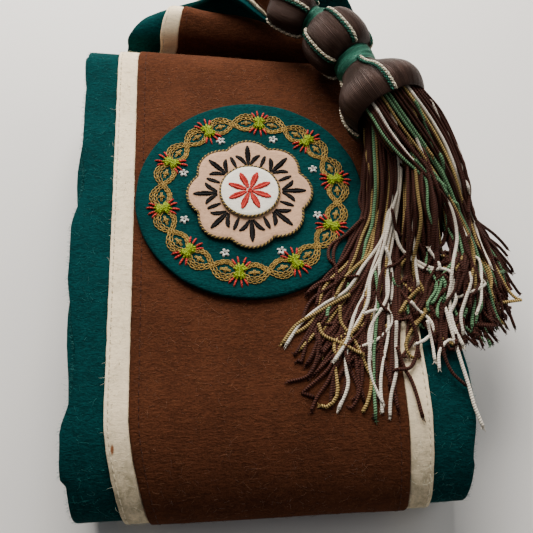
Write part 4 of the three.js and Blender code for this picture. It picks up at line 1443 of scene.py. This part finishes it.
class SASH_OT_neck_wraps(bpy.types.Operator):
    """Green satin wound round the two necks"""

    bl_idname = "sash.neck_wraps"
    bl_label = "Neck wraps"

    def execute(self, context):
        colour = context.scene.sash_tassel.satin_colour
        material = floss_material("green_satin", colour, specular=0.45, threads=60, dull=0.5, glossy=0.34)
        for name, ends in NECK_WRAPS.items():
            self.wrap(*ends).piece(f"satin_wrap_{name}", material, "green_satin", [f"neck_wrap_{name}"])
        return {"FINISHED"}

    def wrap(self, start, start_axis, end, end_axis, radius):
        """Satin in slanting folds round a curved neck."""
        reach = np.linalg.norm(end - start) / 3
        share = np.linspace(0, 1, 49)[:, None]
        rest = 1 - share
        middle = (start + start_axis * reach) * rest + (end - end_axis * reach) * share
        centre = start * rest**3 + 3 * middle * share * rest + end * share**3
        axis = unit(start_axis * rest + end_axis * share)
        right = unit(np.cross((0, 0, 1), axis))
        top = np.cross(axis, right)
        turn = np.linspace(0, 2 * math.pi, 97)[None]
        place = share * 2.3 + turn / (2 * math.pi) + swell(41, np.cos(turn) * 12, share * 14, 13) * 0.5
        fold_line = np.abs(place % 1 - 0.5) * 2
        fine = swell(43, share * 30, np.sin(turn) * 9, 4) * 0.22
        swelling = radius - 0.1 + 0.7 * fold_line**1.5 + 0.3 * np.sin(math.pi * share) + fine
        sideways, upward = (swelling * np.cos(turn))[..., None], (swelling * np.sin(turn))[..., None]
        rows = centre[:, None] + right[:, None] * sideways + top[:, None] * upward
        weave = Weave()
        weave.shell(rows[:, :-1], np.stack(np.broadcast_arrays(share, turn * radius * MM), axis=-1))
        return weave


# Fringe

# The run of the cords, traced through the fringe: each line goes from the bell's mouth to
# the tips, by across, along and height. Neighbouring lines bound one stream of cords.
FRINGE_RUNS = {
    "left": [
        [(42.5, 39.7, 56), (41, 26.7, 52), (39.9, 13.9, 48), (35.3, 2.6, 46), (28.6, -7.8, 45),
         (25, -13.1, 44), (19.6, -19.2, 43), (14.5, -22.3, 42)],
        [(43.7, 39.6, 59), (43, 26.3, 54), (42.5, 13.2, 49), (38.6, 1.4, 46), (31.5, -10, 45),
         (21.1, -22.2, 43), (12.4, -31.7, 42), (7.3, -37.5, 41)],
        [(45.7, 40.2, 61), (45.3, 27.7, 55), (44.8, 14.6, 50), (41.9, 0.6, 47), (35.8, -12.2, 45),
         (27.5, -24.5, 43), (20.8, -35.9, 42), (12.8, -48.6, 41)],
        [(47.4, 40.5, 62), (47.8, 27.9, 56), (47.7, 14.8, 51), (44.6, 0.5, 47), (40.5, -12.5, 45),
         (34.1, -24.9, 43), (26.5, -39, 42), (15.9, -60.8, 41)],
        [(49.1, 40.7, 63), (50.4, 29.3, 57), (50.7, 17.3, 52), (47.6, 3.9, 48), (43.7, -8.7, 45),
         (38.8, -22.2, 43), (33.8, -35.7, 42), (23.4, -60.4, 41)],
        [(50.7, 41.5, 64), (52.5, 29.6, 58), (52.5, 18.2, 52), (49.7, 5.9, 48), (46.4, -6.8, 45),
         (43, -20.6, 43), (38.9, -36, 42), (35, -64.5, 41)],
        [(52, 42.6, 64), (54.5, 30.9, 56), (54.5, 19.5, 50), (52.4, 6.3, 47), (49.9, -7, 45),
         (47.4, -20.8, 43), (45.6, -36.4, 42), (41.1, -62.3, 41)],
    ],
    "middle": [
        [(52.5, 44.6, 62), (54.6, 33, 58.5), (54.9, 21.5, 55.5), (53.9, 8.2, 52.5), (53.6, -4.2, 49),
         (52.7, -18.2, 46), (48.3, -31.7, 43), (48.4, -45, 41)],
        [(54.4, 45.1, 62), (58, 33.3, 58.5), (60.2, 21.3, 55.5), (60.5, 8, 52.5), (60.8, -4.6, 49),
         (59.4, -18.6, 46), (58, -32.1, 43), (58.8, -46.2, 41)],
        [(55.2, 45.4, 62), (59.7, 33.6, 58.5), (63.3, 21.6, 55.5), (65.1, 9.2, 52.5), (64.7, -4.3, 49),
         (64.4, -17.9, 46), (64.8, -30.2, 43), (66.6, -42.6, 41)],
    ],
    "right": [
        [(43.0, 37.8, 64), (46.7, 30.1, 62), (52.3, 24.2, 58), (59.9, 18.2, 54), (67.1, 10.0, 50),
         (69.8, -0.5, 46), (69.9, -12.0, 43), (66.9, -25.9, 41)],
        [(45.5, 39.6, 66), (50.3, 32.5, 62), (56.8, 24.4, 58), (63.6, 16.3, 54), (69.2, 7.7, 50),
         (72.4, -2.7, 46), (73.0, -13.4, 43), (70.0, -31.0, 39)],
        [(49.5, 42.7, 67), (55.4, 34.9, 62), (62.1, 26.6, 57), (67.7, 17.6, 53), (72.1, 8.2, 49),
         (75.6, -1.8, 44), (76.9, -12.1, 40), (74.1, -36.5, 33)],
        [(54.6, 44.3, 68), (61.3, 37.3, 62), (67.2, 29.0, 57), (72.0, 19.0, 53), (75.5, 9.5, 48),
         (78.9, 0.7, 43), (81.8, -9.7, 37), (81.9, -32.3, 30)],
        [(60.2, 46.2, 67), (66.8, 40.1, 61), (72.1, 32.1, 56), (75.8, 23.3, 51), (78.3, 12.9, 47),
         (82.1, 5.1, 41), (86.3, -3.5, 36), (89.4, -20.7, 30)],
        [(64.8, 48.0, 64), (70.8, 43.8, 59), (75.2, 36.7, 54), (78.3, 27.0, 50), (80.1, 17.0, 46),
         (83.1, 9.6, 42), (87.6, 2.3, 37), (92.5, -7.4, 33)],
    ],
}

# Each stream of cords: its share of all, how many lie side by side, the share of a cord that
# keeps its traced height, the shades across it from left to right, and those of the hidden layers
STREAMS = {
    "middle": (0.26, 9, 0.45, "bbgbbnbbb", "bbbbbbbbbbbbbggn"),
    "left": (0.36, 12, 0.2, "gbbbnbgbbbbbbbgbbwwbb", "bbbbbbbbbbbbbggn"),
    "right": (0.38, 18, 0.42, "nbbwbbgbnnbbbgwbbbbb", "bbbbbbbbbbbbbbgn"),
}
SHADES = {"b": "brown", "w": "white", "n": "green", "g": "gold"}

# Points along a cord, and how the layers of a stream lie: how deep they fill the bell's mouth,
# and how deep the lowest of them lies further out
CORD_POINTS = 44
MOUTH_DEPTH = 13
LAYER_DEPTH = 8

# Past this place across the band the cords hang down, more and more
PACKET_EDGE = 66
DROOP = 0.015

# The short ends at the packet's right edge: how many, their shades and where they spread from
BRUSH_COUNT = 70
BRUSH_SHADES = "bbbbbbbbbbbbbbbgn"
BRUSH_MIDDLE = np.array([69, -15, 40])


def support_height(x, y):
    """What the fringe lies on: the packet's top, its badge, and the droop of cords past its edge."""
    on_patch = np.hypot(x - BADGE_CENTRE[0], y - BADGE_CENTRE[1]) < BADGE_REACH
    rounding = np.clip((NEAR_TIP_Y + NEAR_TOP_REACH - y) / NEAR_TOP_REACH, 0, 0.99)
    top = top_height(x) + np.where(on_patch, GROUND_TOP, 0) - TOP_RIGHT / 2 * (1 - np.sqrt(1 - rounding**2))
    return top - droop(x)


def droop(x):
    """How far cords past the packet's edge hang down, by their place across the band."""
    return DROOP * np.clip(x - PACKET_EDGE, 0, None) ** 2


class Pile:
    """Lays cords one on another, so that each rests on what is already there."""

    # The height map: the size of a cell and where it begins, in millimetres
    cell = 0.5
    left, front = -20.0, -90.0

    def __init__(self):
        self.top = np.full((250, 310), -1e3)

    def cells(self, path):
        """Columns and rows of the height map that a path runs over."""
        column = np.clip(((path[:, 0] - self.left) / self.cell).astype(int), 1, self.top.shape[0] - 2)
        row = np.clip(((path[:, 1] - self.front) / self.cell).astype(int), 1, self.top.shape[1] - 2)
        return column, row

    def lay(self, path, radius, settle, hold):
        """Lays a path on the pile and adds it: the first 'hold' of its length keeps its own height."""
        path = path.copy()
        column, row = self.cells(path)
        ground = support_height(path[:, 0], path[:, 1])
        floor = np.maximum(self.top[column, row] - settle, ground) + radius
        floor[2:-2] = (floor[:-4] + 2 * floor[1:-3] + 3 * floor[2:-2] + 2 * floor[3:-1] + floor[4:]) / 9
        along = np.linspace(0, 1, len(path))
        laid = np.maximum(path[:, 2] - 60 * along, floor)
        for _ in range(16):
            smooth = laid.copy()
            smooth[1:-1] = (laid[:-2] + 2 * laid[1:-1] + laid[2:]) / 4
            laid = np.maximum(smooth, floor - radius * 0.2)
        ease = eased((along - hold) / 0.2)
        path[:, 2] = path[:, 2] * (1 - ease) + laid * ease
        for shift_x in (0, 1):
            for shift_y in (0, 1):
                np.maximum.at(self.top, (column + shift_x, row + shift_y), path[:, 2] + radius * 0.85)
        return path


def even_line(points, count):
    """A smooth line through points, evenly spaced along its length."""
    line = through_points(points, 8)
    along = travelled(line)
    return at_lengths(line, along, np.linspace(0, along[-1], count))


def stream_paths(stream, count, across):
    """Cords of one stream, lowest first: layers over it, share across the stream and path."""
    seed = len(stream)
    rng = random.Random(seed)
    lines = np.array([even_line(points, CORD_POINTS) for points in FRINGE_RUNS[stream]])
    layers = max(count // across, 1)
    steps = range(CORD_POINTS)
    along = np.linspace(0, 1, CORD_POINTS)
    near = np.clip(along / 0.4, 0, 1)
    for k in range(layers * across):
        layer, slot = divmod(k, across)
        under = layers - 1 - layer
        share = (slot + 0.25 + 0.5 * (layer % 2) + rng.uniform(-0.1, 0.1)) / across
        drift = share + rng.uniform(-1.8, 1.8) / across * along
        place = np.clip(drift, 0, 1) * (len(lines) - 1)
        low = np.minimum(place.astype(int), len(lines) - 2)
        part = (place - low)[:, None]
        path = lines[low, steps] * (1 - part) + lines[low + 1, steps] * part
        shorten = rng.uniform(0.5, 0.98) if under > 2 else rng.uniform(0.8, 1.06)
        if stream == "right":
            shorten = rng.uniform(0.8, 1.04)
        path = at_lengths(path, steps, np.clip(along * shorten, 0, 1) * (CORD_POINTS - 1))
        inward = BELL_RIM_CENTRE[:2] + (-2, 3) - path[0, :2]
        path[:, :2] += inward * (under / layers * 0.22) * np.clip(1 - along * 4, 0, 1)[:, None]
        settled = LAYER_DEPTH * (1 - math.exp(-0.3 * under))
        sink = under * MOUTH_DEPTH / layers * (1 - near) + settled * near
        path[:, 2] += 0.6 - sink - (slot % 2) * 0.9 * near
        side = unit(np.cross(np.gradient(path, axis=0), (0, 0, 1)))
        loose = np.clip(along - 0.3, 0, 1) ** 1.4
        sway = swell(seed * 900 + k, along * 100, 0, rng.uniform(22, 50), 3) * loose * rng.uniform(6, 16)
        if stream == "right":
            sway = sway * 0.6 + np.clip(along - 0.7, 0, 1) ** 1.3 * rng.uniform(-50, 60)
        path = path + side * sway[:, None]
        yield under, share, np.vstack([path[0] - LOWER_AXIS * 7, path])


def brush_ends():
    """Short ends that spread past the packet's right edge."""
    rng = random.Random(12)
    for _ in range(BRUSH_COUNT):
        turn = math.radians(rng.uniform(-100, 18))
        reach = 24.5 + 7 * max(-math.sin(turn) - 0.5, 0) + rng.uniform(-5, 1)
        way = np.array([math.cos(turn), math.sin(turn), 0])
        root = np.array([68 + rng.uniform(-3, 4), -14 + rng.uniform(-7, 7), 42])
        bend = np.array([way[1], -way[0], 0]) * rng.uniform(-3, 3)
        yield even_line([root, root + way * reach * 0.5 + bend, BRUSH_MIDDLE + way * reach], 26)


def featured_path(line):
    """A traced cord, at its own height over the packet and never under what it lies on."""
    points = np.array(line, float)
    x, y, height = points.T
    points[:, 2] = np.maximum(support_height(x, y) + 0.6, 39 + height * 0.9 - droop(x))
    return through_points(points, 6)


class SASH_OT_fringe(bpy.types.Operator):
    """The tassel's cords, fanned out over the packet and past its right edge"""

    bl_idname = "sash.fringe"
    bl_label = "Fringe"

    def execute(self, context):
        tassel = context.scene.sash_tassel
        self.radius = tassel.fringe_cord_radius / MM
        self.weaves = {shade: Weave() for shade in ("brown", "white", "green", "gold")}
        self.pile, self.rng = Pile(), random.Random(8)
        for stream, (portion, across, hold, shades, hidden) in STREAMS.items():
            if stream == "right":
                for path in brush_ends():
                    self.cord(SHADES[self.rng.choice(BRUSH_SHADES)], path, 0.3)
            for under, share, path in stream_paths(stream, int(tassel.fringe_count * portion), across):
                shade = shades[min(int(share * len(shades)), len(shades) - 1)]
                if under > 0:
                    shade = self.rng.choice(hidden)
                self.cord(SHADES[shade], path, 0.2 if under < 3 else 0.5, hold)
        for shade, lines in FEATURED_CORDS.items():
            for line in lines:
                self.cord(shade, featured_path(line), 0.1, 0.0)
        for shade, weave in self.weaves.items():
            colour = getattr(tassel, f"cord_{shade}")
            # Painted shade in the cords' grooves, weak on the white cords
            groove = 0.15 if shade == "white" else 0.85
            material = yarn_material(f"{shade}_fringe_cord", colour, 0.00086, 1.0, groove)
            weave.piece(f"fringe_{shade}", material, "fringe_cord", ["fringe"] if shade == "brown" else ())
        return {"FINISHED"}

    def cord(self, shade, path, settle, hold=-1.0):
        """Lays one cord on the pile, with its frayed tip."""
        weave, rng = self.weaves[shade], self.rng
        path = self.pile.lay(path, self.radius, settle, hold)
        size = self.radius * rng.uniform(0.9, 1.12)
        tint = rng.uniform(0.0, 1.0)
        weave.tube(path, size, (0, 0, 1), 6, tint)
        ahead = unit(path[-1] - path[-3])
        for _ in range(4):
            way = unit(ahead + (rng.gauss(0, 0.35), rng.gauss(0, 0.35), rng.gauss(0, 0.2)))
            length = rng.uniform(0.9, 2.3)
            shift = np.array([rng.uniform(-0.6, 0.6), rng.uniform(-0.6, 0.6), 0]) * size
            root = path[-1] - ahead * 0.4 + shift
            middle = root + (ahead + way) * length * 0.3
            thickness = np.array([0.35, 0.26, 0.1]) * size
            weave.tube([root, middle, root + way * length], thickness, (0.1, 0, 1), 4, tint)


# Cords that stand out on the fringe: across, along, and height over the packet
FEATURED_CORDS = {
    "white": [
        [(50, 48, 20), (55, 41, 16), (59, 32, 12), (63, 23, 9), (67, 17, 7), (70, 12, 6), (73, 6, 5),
         (74, 1, 4), (75, -4, 3)],
        [(61, 49, 24), (66, 45, 22), (70, 39, 18), (74, 35, 15), (77, 30, 12), (78, 23, 9), (79, 15, 6)],
        [(54, 31, 10), (52, 18, 7), (48, 8, 6), (45, -1, 5), (37, -11, 4), (30, -20, 3), (21, -25, 2),
         (13, -31, 1), (7, -39, 1)],
        [(54, 29, 10), (52, 16, 7), (48, 5, 6), (44, -4, 5), (39, -15, 4), (36, -22, 4), (32, -29, 3),
         (28, -39, 1), (23, -46, 1)],
        [(55, 28, 9), (52, 15, 6), (48, 4, 6), (44, -7, 5), (39, -16, 4), (37, -25, 3), (32, -33, 2),
         (29, -38, 2), (27, -47, 1), (27, -54, 1), (23, -62, 1)],
        [(54, 26, 8), (50, 12, 6), (47, 1, 5), (43, -10, 4), (42, -18, 3), (40, -26, 2), (37, -37, 1),
         (35, -48, 1), (36, -55, 1), (38, -61, 1)],
        [(51, 15, 6), (49, 6, 5), (51, -1, 5), (55, -9, 5), (59, -13, 4), (64, -14, 3), (63, -10, 4),
         (61, -7, 4)],
        [(50, 9, 6), (51, -3, 5), (57, -10, 4), (61, -13, 4), (66, -15, 3), (68, -19, 3), (66, -26, 2),
         (66, -35, 1), (68, -43, 1)],
        [(35, -30, 4), (40, -28, 4), (44, -28, 4), (45, -32, 3), (41, -37, 3), (36, -40, 2), (32, -41, 2)],
        [(45, -4, 5), (47, -10, 4), (47, -18, 3), (46, -24, 2)],
        [(46, -33, 3), (45, -42, 2), (44, -50, 1), (41, -59, 1), (40, -65, 1)],
        [(56, 12, 5), (56, 4, 5), (56, -4, 4), (56, -12, 3), (56, -20, 3)],
        [(52, -26, 3), (54, -28, 3), (58, -32, 3), (59, -36, 2), (56, -39, 2), (52, -41, 2)],
        [(57, -33, 2), (58, -39, 2), (58, -47, 1)],
        [(64, -28, 2), (65, -35, 2), (67, -41, 1), (64, -40, 2), (60, -44, 1), (59, -50, 1)],
        [(74, -13, 3), (74, -20, 2), (71, -27, 2), (69, -32, 2), (69, -39, 1)],
        [(77, -8, 3), (79, -13, 2), (78, -21, 2), (77, -27, 1), (75, -31, 1)],
        [(66, -25, 3), (70, -25, 3), (76, -23, 2), (80, -20, 2), (79, -19, 2)],
        [(67, -17, 3), (68, -26, 2), (65, -32, 2), (66, -42, 1), (68, -55, 0), (69, -63, 0), (71, -70, -1)],
    ],
    "green": [
        [(53, 48, 22), (59, 43, 20), (63, 37, 16), (65, 30, 13), (68, 24, 10), (69, 17, 8), (70, 11, 6),
         (73, 7, 5)],
        [(55, 49, 22), (60, 42, 20), (64, 35, 16), (67, 28, 12), (69, 22, 9), (71, 15, 7)],
        [(55, 29, 12), (58, 25, 10), (62, 21, 9), (66, 17, 8), (69, 13, 7)],
        [(55, 26, 11), (59, 22, 9), (63, 18, 8), (67, 15, 7), (69, 11, 6)],
        [(41, -13, 3), (41, -23, 3), (39, -34, 2), (37, -44, 1), (36, -53, 1), (35, -66, 1)],
        [(65, -17, 3), (65, -22, 3), (62, -27, 2), (61, -31, 2)],
        [(80, -10, 3), (84, -14, 2), (86, -18, 1)],
    ],
    "gold": [
        [(42, 40, 18), (42, 33, 13), (42, 26, 10), (43, 19, 7), (42, 9, 6), (38, 1, 5), (34, -8, 4),
         (30, -15, 3), (26, -22, 2)],
        [(52, 47, 22), (58, 42, 19), (61, 35, 16), (62, 30, 13), (65, 24, 10)],
        [(46, 12, 6), (43, 4, 5), (40, -6, 4), (34, -11, 4), (30, -15, 3)],
        [(27, -26, 3), (27, -32, 2), (31, -39, 2), (33, -45, 1), (35, -51, 1)],
        [(19, -32, 2), (20, -36, 2), (25, -39, 2), (30, -42, 1), (33, -44, 1)],
        [(31, -22, 3), (24, -25, 2), (18, -28, 2), (11, -32, 1), (6, -38, 1)],
        [(56, -21, 3), (52, -24, 3), (48, -29, 2)],
    ],
    "brown": [
        [(39, 8, 5), (32, 2, 4), (26, -2, 4), (25, -7, 4), (27, -10, 3), (27, -15, 3), (26, -18, 2)],
        [(35, -15, 3), (27, -15, 3), (19, -17, 2), (16, -20, 1)],
        [(70, 15, 8), (70, 7, 6), (69, 0, 5), (66, -5, 5), (60, -5, 5), (55, -1, 5), (51, 1, 5),
         (49, 8, 6)],
        [(56, -5, 4), (50, -10, 4), (44, -13, 4), (42, -18, 3), (41, -25, 2), (44, -29, 2)],
        [(67, -7, 4), (70, -14, 3), (68, -23, 3), (64, -28, 2), (62, -34, 2), (61, -42, 1), (63, -51, 1),
         (67, -56, 0)],
        [(63, -5, 5), (63, -13, 4), (59, -19, 4), (57, -26, 3), (52, -31, 3), (47, -32, 3)],
        [(45, -42, 2), (47, -49, 1), (49, -54, 1), (51, -66, 1)],
        [(51, -31, 2), (53, -39, 2), (52, -44, 1), (49, -49, 1), (43, -50, 1)],
        [(19, -35, 1), (18, -42, 1), (14, -50, 1), (7, -52, 0)],
        [(24, -46, 1), (20, -53, 1), (16, -58, 1), (14, -62, 0)],
        [(77, 25, 10), (80, 18, 7), (79, 12, 6), (78, 7, 6)],
    ],
}


# Badge thread look-up, stage and camera

# The scallops take as much felt off the rosette as a radius smaller by this, in metres
SCALLOP_LOSS = 0.00095


class SASH_OT_declare_cloth(bpy.types.Operator):
    """Looks up the threads sewn on each badge felt"""

    bl_idname = "sash.declare_cloth"
    bl_label = "Cloth sizes"

    def execute(self, context):
        objects = bpy.data.objects
        felt, badge = context.scene.sash_felt, context.scene.sash_badge
        on_band = ["cream_strip_left", "cream_strip_right", "strip_stitches"]
        on_band += [f"fringe_{shade}" for shade in ("brown", "white", "green", "gold")]
        for name, radius, less, under, threads in (
            ("badge_patch", badge.radius, 0, "brown_centre",
             ["gold_wreath", "blossom_leaves", "blossom_tips", "white_flowers"]),
            ("badge_rosette", badge.medallion_radius, SCALLOP_LOSS, "badge_patch",
             ["black_leaf_sprays", "couched_edges"]),
            ("badge_centre", badge.disc_radius, 0, "badge_rosette", ["red_star"]),
        ):
            [objects[item] for item in threads]
        return {"FINISHED"}


# The soft lights: name, place, size in metres, share of the main light's power, and colour
LIGHTS = (
    ("main_light", (-0.05, 0.44, 0.36), 0.45, 1, (1, 0.965, 0.92)),
    ("side_light", (0.6, 0.1, 0.5), 0.5, 0.18, (1, 0.98, 0.95)),
)
LIT_POINT = (0.0, 0.0, 0.03)
ROOM_COLOUR = (0.93, 0.95, 1, 1)
ROOM_LIGHT = 0.15

# Half the width of the table, in metres
TABLE_HALF = 6.0

# The camera: place in millimetres, heading and tilt in degrees, focal length and width of the
# frame in pixels, and the width of its sensor in millimetres
CAMERA = {"place": (-4.75, -125.3, 274), "heading": 3.4, "down": 63.4, "focal": 720, "frame": 533}
SENSOR = 36


class SASH_OT_stage(bpy.types.Operator):
    """Pale table, soft light and the camera"""

    bl_idname = "sash.stage"
    bl_label = "Stage"

    def execute(self, context):
        stage = context.scene.sash_stage
        self.table(stage.floor_colour)
        self.lights(context, stage.key_power)
        self.camera(context)
        return {"FINISHED"}

    def table(self, colour):
        mesh = bpy.data.meshes.new("table_top")
        corners = [(x * TABLE_HALF, y * TABLE_HALF, 0) for x, y in ((-1, -1), (1, -1), (1, 1), (-1, 1))]
        mesh.from_pydata(corners, [], [(0, 1, 2, 3)])
        material, tree = new_material("table_paint", specular=0.2, roughness=0.7)
        dress(material, blend(noise(own_place(tree), 6, 2), colour, toned(colour, 0.96)))
        object_from("table_top", mesh, material)

    def lights(self, context, power):
        context.scene.world = bpy.data.worlds.new("studio")
        context.scene.world.use_nodes = True
        room = context.scene.world.node_tree.nodes["Background"].inputs
        room["Color"].default_value, room["Strength"].default_value = ROOM_COLOUR, ROOM_LIGHT
        for name, place, size, share, colour in LIGHTS:
            data = bpy.data.lights.new(name, "AREA")
            data.energy, data.size, data.color = power * share, size, colour
            self.aim(context, name, data, place, Vector(LIT_POINT) - Vector(place))

    def camera(self, context):
        data = bpy.data.cameras.new("camera")
        data.sensor_fit, data.sensor_width = "HORIZONTAL", SENSOR
        data.lens = SENSOR * CAMERA["focal"] / CAMERA["frame"]
        data.clip_start = 0.01
        heading, down = math.radians(CAMERA["heading"]), math.radians(CAMERA["down"])
        look = Vector((
            math.sin(heading) * math.cos(down), math.cos(heading) * math.cos(down), -math.sin(down)
        ))
        context.scene.camera = self.aim(context, "camera", data, [v * MM for v in CAMERA["place"]], look)

    def aim(self, context, name, data, place, look):
        """Puts a light or the camera in its place and turns it to a direction."""
        item = bpy.data.objects.new(name, data)
        item.location = place
        item.rotation_euler = look.to_track_quat("-Z", "Y").to_euler()
        context.scene.collection.objects.link(item)
        return item


class SASH_PT_panel(bpy.types.Panel):
    """Lists the sash's pieces and their settings"""

    bl_label = "Ceremonial sash"
    bl_space_type = "VIEW_3D"
    bl_region_type = "UI"
    bl_category = "Sash"

    def draw(self, context):
        for name in SETTINGS:
            settings = getattr(context.scene, name)
            box = self.layout.box()
            box.label(text=name.removeprefix("sash_").capitalize())
            for key in settings.__annotations__:
                box.prop(settings, key)
        for operator in OPERATORS:
            self.layout.operator(operator.bl_idname)


SETTINGS = {
    "sash_felt": SashFeltSettings,
    "sash_badge": SashBadgeSettings,
    "sash_tassel": SashTasselSettings,
    "sash_stage": SashStageSettings,
}
OPERATORS = (
    SASH_OT_base_band,
    SASH_OT_cream_strips,
    SASH_OT_centre_panel,
    SASH_OT_band_stitching,
    SASH_OT_felt_fuzz,
    SASH_OT_badge_felts,
    SASH_OT_badge_embroidery,
    SASH_OT_tassel_bodies,
    SASH_OT_seam_cords,
    SASH_OT_neck_wraps,
    SASH_OT_fringe,
    SASH_OT_declare_cloth,
    SASH_OT_stage,
)
CLASSES = (*SETTINGS.values(), *OPERATORS, SASH_PT_panel)


def register():
    for item in CLASSES:
        bpy.utils.register_class(item)
    for name, group in SETTINGS.items():
        setattr(bpy.types.Scene, name, bpy.props.PointerProperty(type=group))


def unregister():
    for name in SETTINGS:
        delattr(bpy.types.Scene, name)
    for item in reversed(CLASSES):
        bpy.utils.unregister_class(item)


def main():
    register()
    for operator in OPERATORS:
        group, name = operator.bl_idname.split(".")
        getattr(getattr(bpy.ops, group), name)()


if __name__ == "__main__":
    main()
